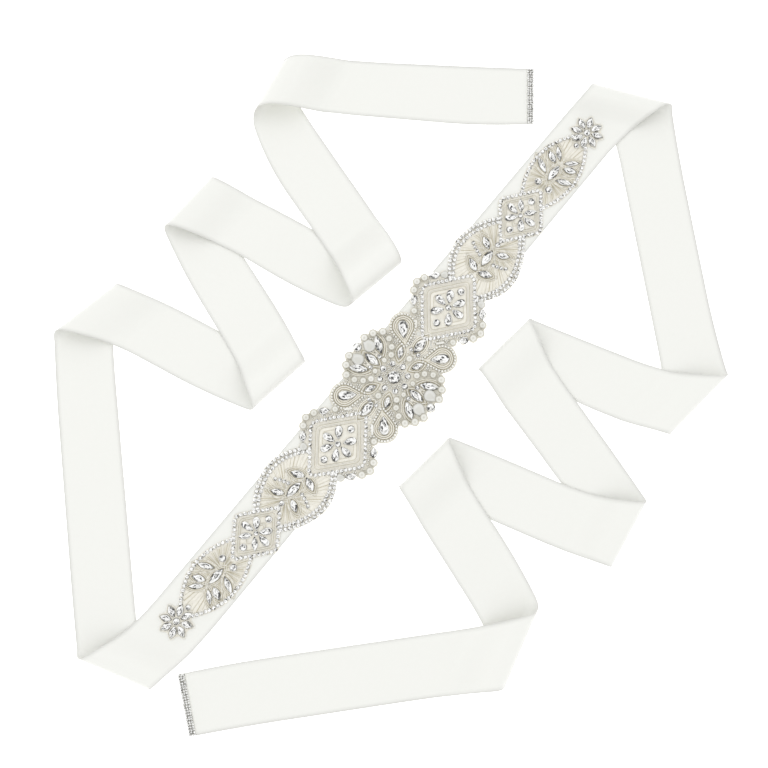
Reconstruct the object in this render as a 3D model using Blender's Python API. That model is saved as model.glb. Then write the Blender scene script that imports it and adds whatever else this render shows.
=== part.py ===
"""A bridal sash, laid out flat: one length of satin ribbon with a beaded applique along its middle.

The ribbon lies in a zigzag. Its middle stretch carries the applique; a tail of six stretches leaves
each end of it, every stretch turning back over the one before in a soft, unpressed fold. A two-row
rhinestone trim finishes both cut ends.

Frame: +X right, +Y away, +Z up, in metres. The origin is the middle of the rectangle that the sash
covers, on the surface it lies on. All tables and sizes below are in millimetres.
"""

import math
from collections import namedtuple

import bpy
import numpy as np
from mathutils import Vector
from mathutils.geometry import delaunay_2d_cdt

MM = 0.001

# ---------------------------------------------------------------- driving dimensions

RIBBON_WIDTH = 38.0     # a 1.5 inch ribbon; the corner tables below keep to it
WALL = 1.0              # thickness of the cloth wall
SEAM = 0.3              # gap between two neighbouring pieces
SWING_REACH = 60.0      # length over which an edge swings out to its corner
LAP_LIFT = 1.7          # how high a stretch lies while it crosses the one below
LAP_STEP = 20.0         # length of its step down to the surface past that crossing

PLATE = 1.0             # thickness of the applique's backing
CHAIN_HEIGHT = 1.5      # how far a stone chain stands above the backing
CHAIN_HALF = 1.0        # half the width of a single chain at its foot
CHAIN_TOP_HALF = 0.45   # and along its top

AXIS_CENTRE = (-0.9, 9.9)   # middle of the line from tip flower to tip flower
AXIS_ANGLE = 50.2            # its direction, degrees from +X
AXIS_HALF = 201.0            # from the middle to each tip flower
AXIS_BOW = 5.4               # how far the applique bows to the right of that line in its middle

# ---------------------------------------------------------------- the ribbon's folds

# p and q are the ends of the fold's outermost line, one on each edge of the ribbon (x, y).
# low and high are the radii of the loop below and above mid height, fall is the length over which
# the upper stretch drops from the loop, and lap is how deep the two stretches overlap.
Fold = namedtuple("Fold", "p q low high fall lap")

FOLDS = {
    "right": [
        Fold((132.4, 195.2), (181.6, 181.6), 5.0, 5.0, 18.0, 33.0),
        Fold((173.8, -30.6), (211.1, 6.4), 4.0, 4.0, 26.0, 29.0),
        Fold((54.8, 9.9), (87.4, 42.0), 5.5, 4.5, 28.0, 59.0),
        Fold((134.8, -111.9), (157.3, -72.2), 5.5, 5.0, 28.0, 50.0),
        Fold((5.4, -63.0), (36.0, -33.3), 5.5, 5.5, 28.0, 55.0),
        Fold((68.7, -182.7), (89.4, -137.0), 7.0, 5.5, 30.0, 25.0),
    ],
    "left": [
        Fold((-188.8, -166.4), (-145.6, -184.3), 5.5, 5.5, 26.0, 33.0),
        Fold((-210.2, 33.1), (-173.3, 62.8), 6.0, 5.0, 28.0, 27.0),
        Fold((-85.3, -15.1), (-53.3, 14.1), 5.5, 6.0, 28.0, 54.0),
        Fold((-143.2, 100.6), (-114.3, 132.2), 6.0, 5.0, 28.0, 50.0),
        Fold((-24.4, 50.3), (6.8, 76.7), 9.0, 9.0, 30.0, 54.0),
        Fold((-87.2, 175.7), (-70.7, 206.6), 7.0, 9.5, 30.0, 22.0),
    ],
}

# The cut ends of the two tails: the ends of the cut on the same two edges.
CUT_ENDS = {
    "right": ((-121.2, -213.4), (-129.2, -176.7)),
    "left": ((92.9, 170.8), (93.6, 208.1)),
}

# How far each edge's straight run lies to the left of the line between its two corners, going out
# from the middle: near the stretch's first fold and near its last, for the p edge and the q edge.
Swing = namedtuple("Swing", "p_first p_last q_first q_last")

MIDDLE_SWING = Swing(-11.2, 0.7, -4.8, 9.8)
SWINGS = {
    "right": [
        Swing(6.2, 2.6, -1.7, -3.0),
        Swing(4.4, -6.9, 10.7, 0.6),
        Swing(0.4, 5.4, -5.5, 1.2),
        Swing(2.5, -2.7, 9.8, -1.3),
        Swing(-0.1, 7.3, -5.3, 4.7),
        Swing(-1.8, -1.2, 3.0, -2.0),
    ],
    "left": [
        Swing(0.5, 1.6, 3.6, 4.3),
        Swing(9.6, -4.3, 3.9, -6.4),
        Swing(-5.9, 4.3, -2.8, 8.6),
        Swing(8.7, -5.8, 1.9, -3.9),
        Swing(-6.8, 10.0, -3.6, 1.9),
        Swing(2.7, -4.3, 4.6, -0.5),
    ],
}

# ---------------------------------------------------------------- the applique's stones

# Places are measured from the middle of the motif: a along the applique, outward, b across it.
# mirror names the axes that the row is repeated across. A chord is a stone's length along its own
# long axis, which is turned from the a axis by the given degrees.
Stone = namedtuple("Stone", "shape a b chord width height turn mirror")

MEDALLION_STONES = [
    Stone("round", 0.0, 0.0, 7.6, 7.6, 4.2, 0, ""),
    Stone("bead", 8.7, 0.0, 3.6, 3.6, 2.2, 0, "a"),
    Stone("bead", 0.0, 8.7, 3.6, 3.6, 2.2, 0, "b"),
    Stone("bead", 6.2, 6.2, 3.4, 3.4, 2.2, 0, "ab"),
    Stone("drop", 27.4, 15.0, 10.0, 6.0, 3.2, 225, "ab"),
    Stone("navette", 25.8, 0.0, 9.6, 5.0, 3.0, 0, "a"),
    Stone("bead", 15.2, 0.0, 4.6, 4.6, 3.2, 0, "a"),
    Stone("navette", 14.8, 7.0, 6.6, 3.6, 2.4, 27, "ab"),
    Stone("navette", 0.0, 18.0, 11.0, 4.6, 3.0, 90, "b"),
    Stone("navette", 9.9, 20.8, 11.0, 4.6, 3.0, 59, "ab"),
    Stone("round", 5.7, 25.2, 5.4, 5.4, 2.6, 0, "ab"),
    Stone("bead", 0.0, 29.9, 4.8, 4.8, 3.0, 0, "b"),
    Stone("bead", 9.9, 10.4, 4.4, 4.4, 3.2, 0, "ab"),
    Stone("bead", 14.1, 13.6, 4.4, 4.4, 3.2, 0, "ab"),
    Stone("bead", 17.2, 18.0, 4.2, 4.2, 3.2, 0, "ab"),
    Stone("bead", 7.4, 30.4, 4.8, 4.8, 3.4, 0, "ab"),
    Stone("bead", 13.1, 28.0, 4.8, 4.8, 3.4, 0, "ab"),
    Stone("bead", 17.8, 23.8, 4.8, 4.8, 3.4, 0, "ab"),
]

DIAMOND_STONES = [
    Stone("bead", 0.0, 0.0, 4.2, 4.2, 3.0, 0, ""),
    Stone("navette", 6.2, 3.7, 7.0, 4.0, 2.4, 31, "b"),
    Stone("navette", 0.6, 7.0, 6.8, 4.0, 2.4, 84, "b"),
    Stone("navette", -6.2, 4.7, 7.0, 4.0, 2.4, 143, "b"),
    Stone("bead", 12.8, 0.0, 4.2, 4.2, 2.4, 0, ""),
    Stone("bead", -12.4, 0.0, 4.2, 4.2, 2.4, 0, ""),
    Stone("bead", 14.8, 15.2, 4.6, 4.6, 2.4, 0, "b"),
    Stone("navette", 10.2, 19.6, 6.4, 4.0, 2.4, 139, "b"),
    Stone("bead", 5.0, 23.8, 4.4, 4.4, 2.4, 0, "b"),
    Stone("bead", 0.0, 26.0, 4.4, 4.4, 2.4, 0, "b"),
    Stone("bead", -5.3, 24.2, 4.4, 4.4, 2.4, 0, "b"),
    Stone("bead", -10.4, 20.2, 4.6, 4.6, 2.4, 0, "b"),
    Stone("bead", -15.6, 15.8, 4.2, 4.2, 2.2, 0, "b"),
]

OVAL_STONES = [
    Stone("navette", -1.2, 0.0, 10.0, 4.4, 3.0, 0, ""),
    Stone("navette", 6.3, 6.7, 7.4, 3.8, 2.4, 62, "b"),
    Stone("navette", -10.2, 4.9, 7.2, 4.0, 2.4, 67, "b"),
    Stone("bead", 8.9, 0.0, 3.2, 3.2, 2.0, 0, ""),
]

SMALL_DIAMOND_STONES = [
    Stone("bead", 0.0, 0.0, 3.4, 3.4, 2.6, 0, ""),
    Stone("navette", 5.6, 3.9, 6.8, 3.6, 2.4, 42, "b"),
    Stone("navette", 0.3, 6.7, 6.6, 3.8, 2.4, 84, "b"),
    Stone("navette", -4.9, 3.9, 6.8, 3.8, 2.4, 140, "b"),
    Stone("bead", 11.5, 0.0, 4.0, 4.0, 2.4, 0, ""),
    Stone("bead", -11.5, 0.0, 4.0, 4.0, 2.4, 0, ""),
]

END_OVAL_STONES = [
    Stone("navette", -0.6, 0.0, 11.4, 4.4, 2.8, 2, ""),
    Stone("navette", -1.2, 9.0, 10.2, 3.6, 2.4, 64, "b"),
    Stone("navette", 7.2, 7.2, 7.8, 3.8, 2.4, 66, "b"),
    Stone("navette", 12.0, 5.0, 8.6, 2.8, 2.4, 48, "b"),
    Stone("bead", -11.3, 4.4, 4.0, 4.0, 2.4, 0, "b"),
]

FLOWER_STONES = [
    Stone("bead", 0.0, 0.0, 4.2, 4.2, 3.0, 0, ""),
    Stone("navette", 5.9, 2.5, 6.8, 3.4, 2.6, 22.5, "ab"),
    Stone("navette", 2.5, 5.9, 6.8, 3.4, 2.6, 67.5, "ab"),
    Stone("bead", -10.8, 0.0, 3.2, 3.2, 2.0, 0, ""),
]

# Where each motif's middle lies along the applique.
MEDALLION_AT = -0.9
DIAMOND_AT = 55.2
OVAL_AT = 96.5
SMALL_DIAMOND_AT = 130.0
END_OVAL_AT = 166.5
FLOWER_AT = 200.5

LOOP_HEAD = (28.8, 16.1)        # middle of a medallion loop's round end
LOOP_RADIUS = 7.9               # of its chain
LOOP_TAIL = 12.6                # from that middle to where the chain's two ends meet
LOOP_DIRECTION = 45.0           # degrees from the a axis, outward
MEDALLION_BODY = 30.6           # radius of the backing between the loops and the rim beads
BEAD_MARGIN = 0.8               # backing that shows round a rim bead

DIAMOND_HALF = (26.2, 21.4)         # half length and half width of its chain
SMALL_DIAMOND_HALF = (21.6, 16.8)
CORNER_ROUNDING = 0.12              # share of a side that a rounded corner takes at each end
CLUSTER_MIDDLE = 9.0                # the backing under the beads on a diamond's side corners is
CLUSTER_RADIUS = 15.0               # a round of this radius, this far across from its middle

# A pointed oval's outline is two parabolas: its widest place, half width there, and the distances
# from there to its two tips, which the neighbouring motifs cover.
Oval = namedtuple("Oval", "widest half inner outer")

OVAL = Oval(92.5, 22.7, 33.5, 39.0)
END_OVAL = Oval(167.0, 16.4, 37.5, 33.5)
OVAL_CHAIN_HALF = 2.2               # the larger ovals have a double chain
FLOWER_RADIUS = 10.4
FLOWER_DIP = 1.4                    # how far the backing dips between two petals

TRIM_LENGTH = 4.6                   # along the ribbon, for two rows of stones
TRIM_INSET = 0.4                    # from the ribbon's edges and its cut end
TRIM_PLATE = 0.7
TRIM_RIB = 1.0

# ---------------------------------------------------------------- materials


def principled(name, colour, roughness, metallic=0.0):
    material = bpy.data.materials.new(name)
    material.use_nodes = True
    shader = material.node_tree.nodes["Principled BSDF"]
    shader.inputs["Base Color"].default_value = (*colour, 1.0)
    shader.inputs["Roughness"].default_value = roughness
    shader.inputs["Metallic"].default_value = metallic
    material.diffuse_color = (*colour, 1.0)
    return material


# ---------------------------------------------------------------- small plane geometry


def left_of(direction):
    return np.array([-direction[1], direction[0]])


def unit(vector):
    return vector / np.hypot(*vector)


def ease(t):
    """1 before t = 0, 0 after t = 1, level at both ends."""
    t = np.clip(t, 0.0, 1.0)
    return (1.0 - t) ** 2 * (1.0 + 2.0 * t)


def turned(points, degrees):
    angle = math.radians(degrees)
    cos, sin = math.cos(angle), math.sin(angle)
    return np.asarray(points) @ np.array([[cos, sin], [-sin, cos]])


def inside(polygon, point):
    """Whether a point lies in a closed polygon, by the crossings of a ray along +x."""
    x, y = point
    start = polygon
    end = np.roll(polygon, -1, axis=0)
    crossing = (start[:, 1] > y) != (end[:, 1] > y)
    start, end = start[crossing], end[crossing]
    at = start[:, 0] + (y - start[:, 1]) / (end[:, 1] - start[:, 1]) * (end[:, 0] - start[:, 0])
    return bool(np.count_nonzero(at > x) % 2)


# ---------------------------------------------------------------- the ribbon


class HalfFold:
    """One stretch's half of a fold, in profile, followed from the fold's outermost line inward.

    used is the length of ribbon, reach the distance it has come back in, height the lift of its
    middle above where it lies flat.
    """

    ARC_STEPS = 7
    FALL_STEPS = 9
    STEP_STEPS = 5

    def __init__(self, fold, upper):
        angle = np.linspace(0.0, math.pi / 2, self.ARC_STEPS + 1)
        if upper:
            reach = fold.high * (1 - np.cos(angle))
            height = fold.low + fold.high * np.sin(angle)
            fallen = fold.high + fold.fall
            lap = max(fold.lap, fallen)
            run = np.concatenate([
                np.linspace(fold.high, fallen, self.FALL_STEPS + 1)[1:],
                np.linspace(lap, lap + LAP_STEP, self.STEP_STEPS + 1)[int(lap == fallen):],
            ])
            drop = fold.low + fold.high - LAP_LIFT
            falling = drop * ease((run - fold.high) / fold.fall) + LAP_LIFT * ease((run - lap) / LAP_STEP)
            reach = np.concatenate([reach, run])
            height = np.concatenate([height, falling])
        else:
            reach = fold.low * (1 - np.cos(angle))
            height = fold.low * (1 - np.sin(angle))
        self.reach = reach
        self.height = height
        self.used = np.concatenate([[0.0], np.cumsum(np.hypot(np.diff(reach), np.diff(height)))])
        self.slack = self.used[-1] - reach[-1]

    def shift_and_lift(self, used):
        """How far inward of its flat place a point moves, and how high, for a length from the fold."""
        used = np.maximum(used, 0.0)
        reach = np.interp(used, self.used, self.reach)
        lift = np.interp(used, self.used, self.height)
        beyond = used > self.used[-1]
        return np.where(beyond, 0.0, used - self.slack - reach), np.where(beyond, 0.0, lift)


class FoldEnd:
    """A fold as one of its two stretches sees it: where its line is, which way is out."""

    def __init__(self, fold, upper, middle_of_stretch):
        p, q = np.array(fold.p), np.array(fold.q)
        out = left_of(unit(q - p))
        if (middle_of_stretch - (p + q) / 2) @ out > 0:
            out = -out
        self.out = out
        self.half = HalfFold(fold, upper)
        self.line = p
        self.corner_p = p + self.half.slack * out
        self.corner_q = q + self.half.slack * out

    def length_to(self, flat_points):
        return (self.corner_p - flat_points) @ self.out

    def lift_at(self, point):
        """Height of the upper stretch over a place on the surface, inward of the loop."""
        return np.interp((self.line - point) @ self.out, self.half.reach, self.half.height)


def flat_edge(start, end, swing_first, swing_last, share):
    """Points of one edge of a stretch laid out flat, at shares of its length from 0 to 1."""
    run = end - start
    length = np.hypot(*run)
    reach = min(SWING_REACH, length / 2)
    near = np.clip(1 - share * length / reach, 0, 1) ** 2
    far = np.clip(1 - (1 - share) * length / reach, 0, 1) ** 2
    offset = swing_first * (1 - share - near) + swing_last * (share - far)
    return start + np.outer(share, run) + np.outer(offset, left_of(run / length))


class Stretch:
    """The ribbon between two folds, or between a fold and its cut end."""

    FINE = np.linspace(0.0, 1.0, 241)
    MIDDLE_ROWS = 6

    def __init__(self, name, first, last, swing, first_upper, last_upper=False):
        self.name = name
        ends = [end if isinstance(end, Fold) else None for end in (first, last)]
        corners_p = [np.array(first.p), np.array(last.p if ends[1] else last[0])]
        corners_q = [np.array(first.q), np.array(last.q if ends[1] else last[1])]
        middle = (sum(corners_p) + sum(corners_q)) / 4
        self.ends = []
        for index, (fold, upper) in enumerate(zip(ends, (first_upper, last_upper))):
            end = FoldEnd(fold, upper, middle) if fold else None
            if end:
                corners_p[index], corners_q[index] = end.corner_p, end.corner_q
            self.ends.append(end)
        self.edges = {
            "p": (*corners_p, swing.p_first, swing.p_last),
            "q": (*corners_q, swing.q_first, swing.q_last),
        }

    def shares_at(self, edge, index, lengths):
        """Where along an edge the given lengths of ribbon from one of its folds are reached."""
        flat = flat_edge(*self.edges[edge], self.FINE)
        away = self.ends[index].length_to(flat)
        if index == 0:
            return np.interp(lengths, away, self.FINE)
        return np.interp(lengths, away[::-1], self.FINE[::-1])

    def row_shares(self, edge):
        """Rows of the mesh: close in the folds, each parallel to its fold, and wide between them."""
        first, last = self.ends
        trimmed = np.array([SEAM / 2])
        head = self.shares_at(edge, 0, np.concatenate([trimmed, first.half.used[1:]]))
        tail = np.array([1.0])
        if last:
            tail = self.shares_at(edge, 1, np.concatenate([trimmed, last.half.used[1:]]))[::-1]
        between = np.linspace(head[-1], tail[0], self.MIDDLE_ROWS + 2)[1:-1]
        return np.concatenate([head, between, tail])

    def edge_points(self, edge, shares):
        """The edge's real place, with the folds' loops: x, y and the height of the cloth's middle."""
        flat = flat_edge(*self.edges[edge], shares)
        height = np.full(len(flat), WALL / 2)
        place = flat.copy()
        for end in self.ends:
            if end:
                shift, lift = end.half.shift_and_lift(end.length_to(flat))
                place += np.outer(shift, end.out)
                height += lift
        return np.column_stack([place, height])

    def lift_at(self, point):
        return sum(float(end.lift_at(np.asarray(point))) for end in self.ends if end)


def ribbon_solid(stretch, material):
    """A strip of quads through the middle of the cloth, given its wall by Solidify."""
    rows_p = stretch.edge_points("p", stretch.row_shares("p"))
    rows_q = stretch.edge_points("q", stretch.row_shares("q"))
    vertices = [tuple(point * MM) for pair in zip(rows_p, rows_q) for point in pair]
    faces = [(2 * i, 2 * i + 1, 2 * i + 3, 2 * i + 2) for i in range(len(rows_p) - 1)]
    mesh = bpy.data.meshes.new(stretch.name)
    mesh.from_pydata(vertices, [], faces)
    mesh.materials.append(material)
    ribbon = bpy.data.objects.new(stretch.name, mesh)
    bpy.context.scene.collection.objects.link(ribbon)
    wall = ribbon.modifiers.new("wall", "SOLIDIFY")
    wall.thickness = WALL * MM
    wall.offset = 0.0
    wall.use_even_offset = True
    mesh.shade_smooth()
    mesh.set_sharp_from_angle(angle=math.radians(40))
    return ribbon


# ---------------------------------------------------------------- beaded plates


def closed_edges(count, start=0):
    return [(start + i, start + (i + 1) % count) for i in range(count)]


def triangles(points, edges, keep):
    """Plane triangulation that holds the given edges; keep(centre) tells which triangles stay."""
    vectors = [Vector(point) for point in points]
    found, _, faces, sources, _, _ = delaunay_2d_cdt(vectors, edges, [], 0, 1e-6)
    kept = [tuple(face) for face in faces
            if keep(sum((found[i] for i in face), Vector((0.0, 0.0))) / 3)]
    return [tuple(v) for v in found], kept, sources


def largest_piece(faces):
    """The largest group of triangles joined edge to edge."""
    at_edge = {}
    for order, face in enumerate(faces):
        for edge in zip(face, face[1:] + face[:1]):
            at_edge.setdefault(frozenset(edge), []).append(order)
    left, pieces = set(range(len(faces))), []
    while left:
        piece, queue = set(), [min(left)]
        while queue:
            order = queue.pop()
            if order in piece:
                continue
            piece.add(order)
            face = faces[order]
            for edge in zip(face, face[1:] + face[:1]):
                queue.extend(at_edge[frozenset(edge)])
        left -= piece
        pieces.append(sorted(piece))
    return [faces[order] for order in max(pieces, key=len)]


def rim_loop(faces):
    """The points round a group of triangles, in the order in which their faces pass them."""
    sides = {(a, b) for face in faces for a, b in zip(face, face[1:] + face[:1])}
    following = {a: b for a, b in sides if (b, a) not in sides}
    loop = [min(following)]
    while following[loop[-1]] != loop[0]:
        loop.append(following[loop[-1]])
    return loop


class Plate:
    """A backing with its stones raised in its outer points, over a plain inside.

    The outline, minus any cut-outs, is triangulated in the plane together with the foot and the top
    of every raised form; each point then takes its height.
    """

    def __init__(self, outline, cutouts=()):
        self.outline = np.asarray(outline)
        self.cutouts = [np.asarray(cutout) for cutout in cutouts]
        self.points, self.heights, self.edges = [], [], []
        for ring in (self.outline, *self.cutouts):
            self.add_ring(ring, 0.0)

    def add_ring(self, ring, height, closed=True):
        start = len(self.points)
        self.points.extend(map(tuple, ring))
        self.heights.extend([height] * len(ring))
        edges = closed_edges(len(ring), start)
        self.edges.extend(edges if closed else edges[:-1])

    def raise_form(self, foot, top, height):
        self.add_ring(foot, 0.0)
        self.add_ring(top, height)

    def contains(self, point):
        return inside(self.outline, point) and not any(inside(c, point) for c in self.cutouts)

    def solid(self, name, place, thickness, material, bent=False):
        """place(a, b, height) gives the point at a height above the plate's underside.

        A bent plate's underside takes all the points of its top, to follow the cloth under it.
        """
        flat, faces, sources = triangles(self.points, self.edges, self.contains)
        rise = [max((self.heights[i] for i in source), default=0.0) for source in sources]
        top = largest_piece(faces)
        rim = rim_loop(top)
        used = sorted({index for face in top for index in face})
        upper = {index: order for order, index in enumerate(used)}
        if bent:
            below, under = upper, [flat[index] for index in used]
            bottom = [tuple(upper[index] for index in face) for face in top]
        else:
            below = {index: order for order, index in enumerate(rim)}
            outline = [Vector(flat[index]) for index in rim]
            under, _, bottom, _, _, _ = delaunay_2d_cdt(outline, [], [list(range(len(rim)))], 1, 1e-6)
        vertices = [place(*flat[index], thickness + rise[index]) for index in used]
        base = len(vertices)
        vertices += [place(*point, 0.0) for point in under]
        faces = [tuple(upper[index] for index in face) for face in top]
        faces += [tuple(base + index for index in reversed(face)) for face in bottom]
        faces += [(upper[b], upper[a], base + below[a], base + below[b])
                  for a, b in zip(rim, rim[1:] + rim[:1])]
        mesh = bpy.data.meshes.new(name)
        mesh.from_pydata([tuple(np.asarray(v) * MM) for v in vertices], [], faces)
        mesh.materials.append(material)
        plate = bpy.data.objects.new(name, mesh)
        bpy.context.scene.collection.objects.link(plate)
        return plate


# ---------------------------------------------------------------- stones and chains


def stone_ring(shape, chord, width):
    """The outline of a stone lying along the a axis, a few points of a simple curve."""
    sides = 6 if shape == "bead" else 8
    angle = np.arange(sides) * 2 * math.pi / sides
    along, across = np.cos(angle), np.sin(angle)
    if shape == "navette":
        across = np.sign(across) * (1 - along ** 2)
    if shape == "drop":
        across = across * (1 - 0.45 * along)
    return np.column_stack([along * chord / 2, across * width / 2])


TABLE = {"round": 0.62, "bead": 0.55, "navette": 0.5, "drop": 0.55}


def mirrored(stone):
    """The stone and its mirror images, as (a, b, turn)."""
    images = [(stone.a, stone.b, stone.turn)]
    if "b" in stone.mirror:
        images += [(a, -b, -turn) for a, b, turn in images]
    if "a" in stone.mirror:
        images += [(-a, b, 180 - turn) for a, b, turn in images]
    return images


def raise_stones(plate, stones, middle, outward):
    for stone in stones:
        ring = stone_ring(stone.shape, stone.chord, stone.width)
        for a, b, turn in mirrored(stone):
            foot = turned(ring, turn) + (a, b)
            top = turned(ring * TABLE[stone.shape], turn) + (a, b)
            flip = np.array([outward, 1.0])
            plate.raise_form(foot * flip + (middle, 0), top * flip + (middle, 0), stone.height)


def offset_path(path, distance):
    """A path moved to its left, point by point, along the bisector at each."""
    along = np.gradient(path, axis=0)
    normal = np.column_stack([-along[:, 1], along[:, 0]])
    return path + distance * normal / np.hypot(*normal.T)[:, None]


def raise_chain(plate, path, half=CHAIN_HALF, top_half=CHAIN_TOP_HALF):
    """A ridge along an open path, its ends square."""
    def band(width, trim):
        run = path.copy()
        run[0] += unit(path[1] - path[0]) * trim
        run[-1] += unit(path[-2] - path[-1]) * trim
        return np.vstack([offset_path(run, width), offset_path(run, -width)[::-1]])
    plate.raise_form(band(half, 0.0), band(top_half, half - top_half), CHAIN_HEIGHT)


def raise_ring(plate, ring_at, half=CHAIN_HALF, top_half=CHAIN_TOP_HALF):
    """A ridge round a closed outline; ring_at(offset) gives the outline moved outward."""
    plate.add_ring(ring_at(half), 0.0)
    plate.add_ring(ring_at(top_half), CHAIN_HEIGHT)
    plate.add_ring(ring_at(-top_half), CHAIN_HEIGHT)
    plate.add_ring(ring_at(-half), 0.0)


# ---------------------------------------------------------------- outlines of the motifs


def circles_outline(middle, body, circles, steps):
    """The outline of overlapping circles round a body, found along rays from the middle.

    body(angle) is the body's own radius there; circles are (a, b, radius), relative to the middle.
    """
    outline = []
    for angle in np.arange(steps) * 2 * math.pi / steps:
        ray = np.array([math.cos(angle), math.sin(angle)])
        radius = body(angle)
        for a, b, size in circles:
            along = ray @ (a, b)
            aside = a * a + b * b - along * along
            if along > 0 and aside < size * size:
                radius = max(radius, along + math.sqrt(size * size - aside))
        outline.append(ray * radius + (middle, 0))
    return np.array(outline)


def stone_circles(stones, margin, beyond):
    """Circles that the backing keeps round the stones that lie past a distance from the middle."""
    return [(a, b, stone.width / 2 + margin)
            for stone in stones for a, b, _ in mirrored(stone) if math.hypot(a, b) > beyond]


def diamond_ring(half, offset, outward=1, middle=0.0):
    """A diamond with rounded corners, moved outward by an offset measured square to its sides."""
    length, width = half
    scale = 1 + offset * math.hypot(length, width) / (length * width)
    corners = np.array([[length, 0], [0, width], [-length, 0], [0, -width]]) * scale
    ring = []
    for before, corner, after in zip(np.roll(corners, 1, 0), corners, np.roll(corners, -1, 0)):
        entry = corner + (before - corner) * CORNER_ROUNDING
        exit_ = corner + (after - corner) * CORNER_ROUNDING
        ring += [entry, (entry + 2 * corner + exit_) / 4, exit_]
    return np.array(ring) * (outward, 1) + (middle, 0)


def diamond_radius(half, offset):
    length, width = half
    scale = 1 + offset * math.hypot(length, width) / (length * width)
    return lambda angle: scale / (abs(math.cos(angle)) / length + abs(math.sin(angle)) / width)


def oval_side(oval, inset, at):
    """Half width of a pointed oval at distances along the applique."""
    reach = np.where(at < oval.widest, oval.inner, oval.outer)
    return oval.half * (1 - ((at - oval.widest) / reach) ** 2) - inset


def oval_outline(oval, outward, steps=22):
    at = np.linspace(oval.widest - oval.inner, oval.widest + oval.outer, steps + 1)
    side = oval_side(oval, 0.0, at)
    upper = np.column_stack([at, side])
    lower = np.column_stack([at, -side])[1:-1][::-1]
    return np.vstack([upper, lower]) * (outward, 1)


# ---------------------------------------------------------------- the motifs


def medallion_outline(grow=0.0):
    loops = [(sa * LOOP_HEAD[0], sb * LOOP_HEAD[1], LOOP_RADIUS + CHAIN_HALF + 0.5 + grow)
             for sa in (-1, 1) for sb in (-1, 1)]
    beads = stone_circles(MEDALLION_STONES, BEAD_MARGIN + grow, 26.5)
    beads = [circle for circle in beads if abs(circle[1]) > 1]
    return circles_outline(MEDALLION_AT, lambda angle: MEDALLION_BODY + grow, loops + beads, 96)


def diamond_outline(outward, grow=0.0):
    circles = stone_circles(DIAMOND_STONES, BEAD_MARGIN + grow, 19.5)
    circles += [(0.0, side * CLUSTER_MIDDLE, CLUSTER_RADIUS + grow) for side in (-1, 1)]
    circles = [(outward * a, b, radius) for a, b, radius in circles]
    body = diamond_radius(DIAMOND_HALF, CHAIN_HALF + 0.3 + grow)
    return circles_outline(outward * DIAMOND_AT, body, circles, 88)


def small_diamond_outline(outward, grow=0.0):
    return diamond_ring(SMALL_DIAMOND_HALF, CHAIN_HALF + 0.4 + grow, outward, outward * SMALL_DIAMOND_AT)


def flower_outline(outward, grow=0.0):
    def body(angle):
        return FLOWER_RADIUS + grow - FLOWER_DIP * (0.5 + 0.5 * math.cos(8 * angle))
    bead = [(-outward * 10.6, 0.0, 2.2 + grow)]
    return circles_outline(outward * FLOWER_AT, body, bead, 32)


def medallion_plate():
    plate = Plate(medallion_outline())
    raise_stones(plate, MEDALLION_STONES, MEDALLION_AT, 1)
    sweep = np.radians(np.linspace(-122, 122, 9))
    round_end = LOOP_RADIUS * np.column_stack([np.cos(sweep), np.sin(sweep)])
    tail = np.array([-LOOP_TAIL, CHAIN_HALF + 0.25])
    loop = np.vstack([tail * (1, -1), round_end, tail])
    loop = turned(loop, LOOP_DIRECTION) + LOOP_HEAD
    for side_a in (-1, 1):
        for side_b in (-1, 1):
            raise_chain(plate, loop * (side_a, side_b))
    return plate


def diamond_plate(outward):
    plate = Plate(diamond_outline(outward), [medallion_outline(SEAM)])
    raise_ring(plate, lambda offset: diamond_ring(DIAMOND_HALF, offset, outward, outward * DIAMOND_AT))
    raise_stones(plate, DIAMOND_STONES, outward * DIAMOND_AT, outward)
    return plate


def oval_plate(oval, stones, middle, outward, inner, outer, chain_half, chain_from, chain_to):
    """A pointed oval between two motifs that lie over its tips, with a chain down each side."""
    plate = Plate(oval_outline(oval, outward), [inner(outward, SEAM), outer(outward, SEAM)])
    at = np.linspace(chain_from, chain_to, 11)
    side = oval_side(oval, chain_half + 0.4, at)
    for sign in (-1, 1):
        path = np.column_stack([at * outward, side * sign])
        raise_chain(plate, path, chain_half, chain_half - (CHAIN_HALF - CHAIN_TOP_HALF))
    raise_stones(plate, stones, outward * middle, outward)
    return plate


def small_diamond_plate(outward):
    plate = Plate(small_diamond_outline(outward))
    middle = outward * SMALL_DIAMOND_AT
    raise_ring(plate, lambda offset: diamond_ring(SMALL_DIAMOND_HALF, offset, outward, middle))
    raise_stones(plate, SMALL_DIAMOND_STONES, middle, outward)
    return plate


def flower_plate(outward):
    plate = Plate(flower_outline(outward))
    raise_stones(plate, FLOWER_STONES, outward * FLOWER_AT, outward)
    return plate


def on_middle_stretch(stretch):
    """Gives the function that puts a point of the applique on top of the middle stretch."""
    along = np.array([math.cos(math.radians(AXIS_ANGLE)), math.sin(math.radians(AXIS_ANGLE))])
    across = left_of(along)

    def place(a, b, height):
        bow = AXIS_BOW * math.cos(math.pi * a / (2 * AXIS_HALF)) ** 2
        point = np.array(AXIS_CENTRE) + a * along + (b - bow) * across
        return (*point, WALL + SEAM + stretch.lift_at(point) + height)
    return place


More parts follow.
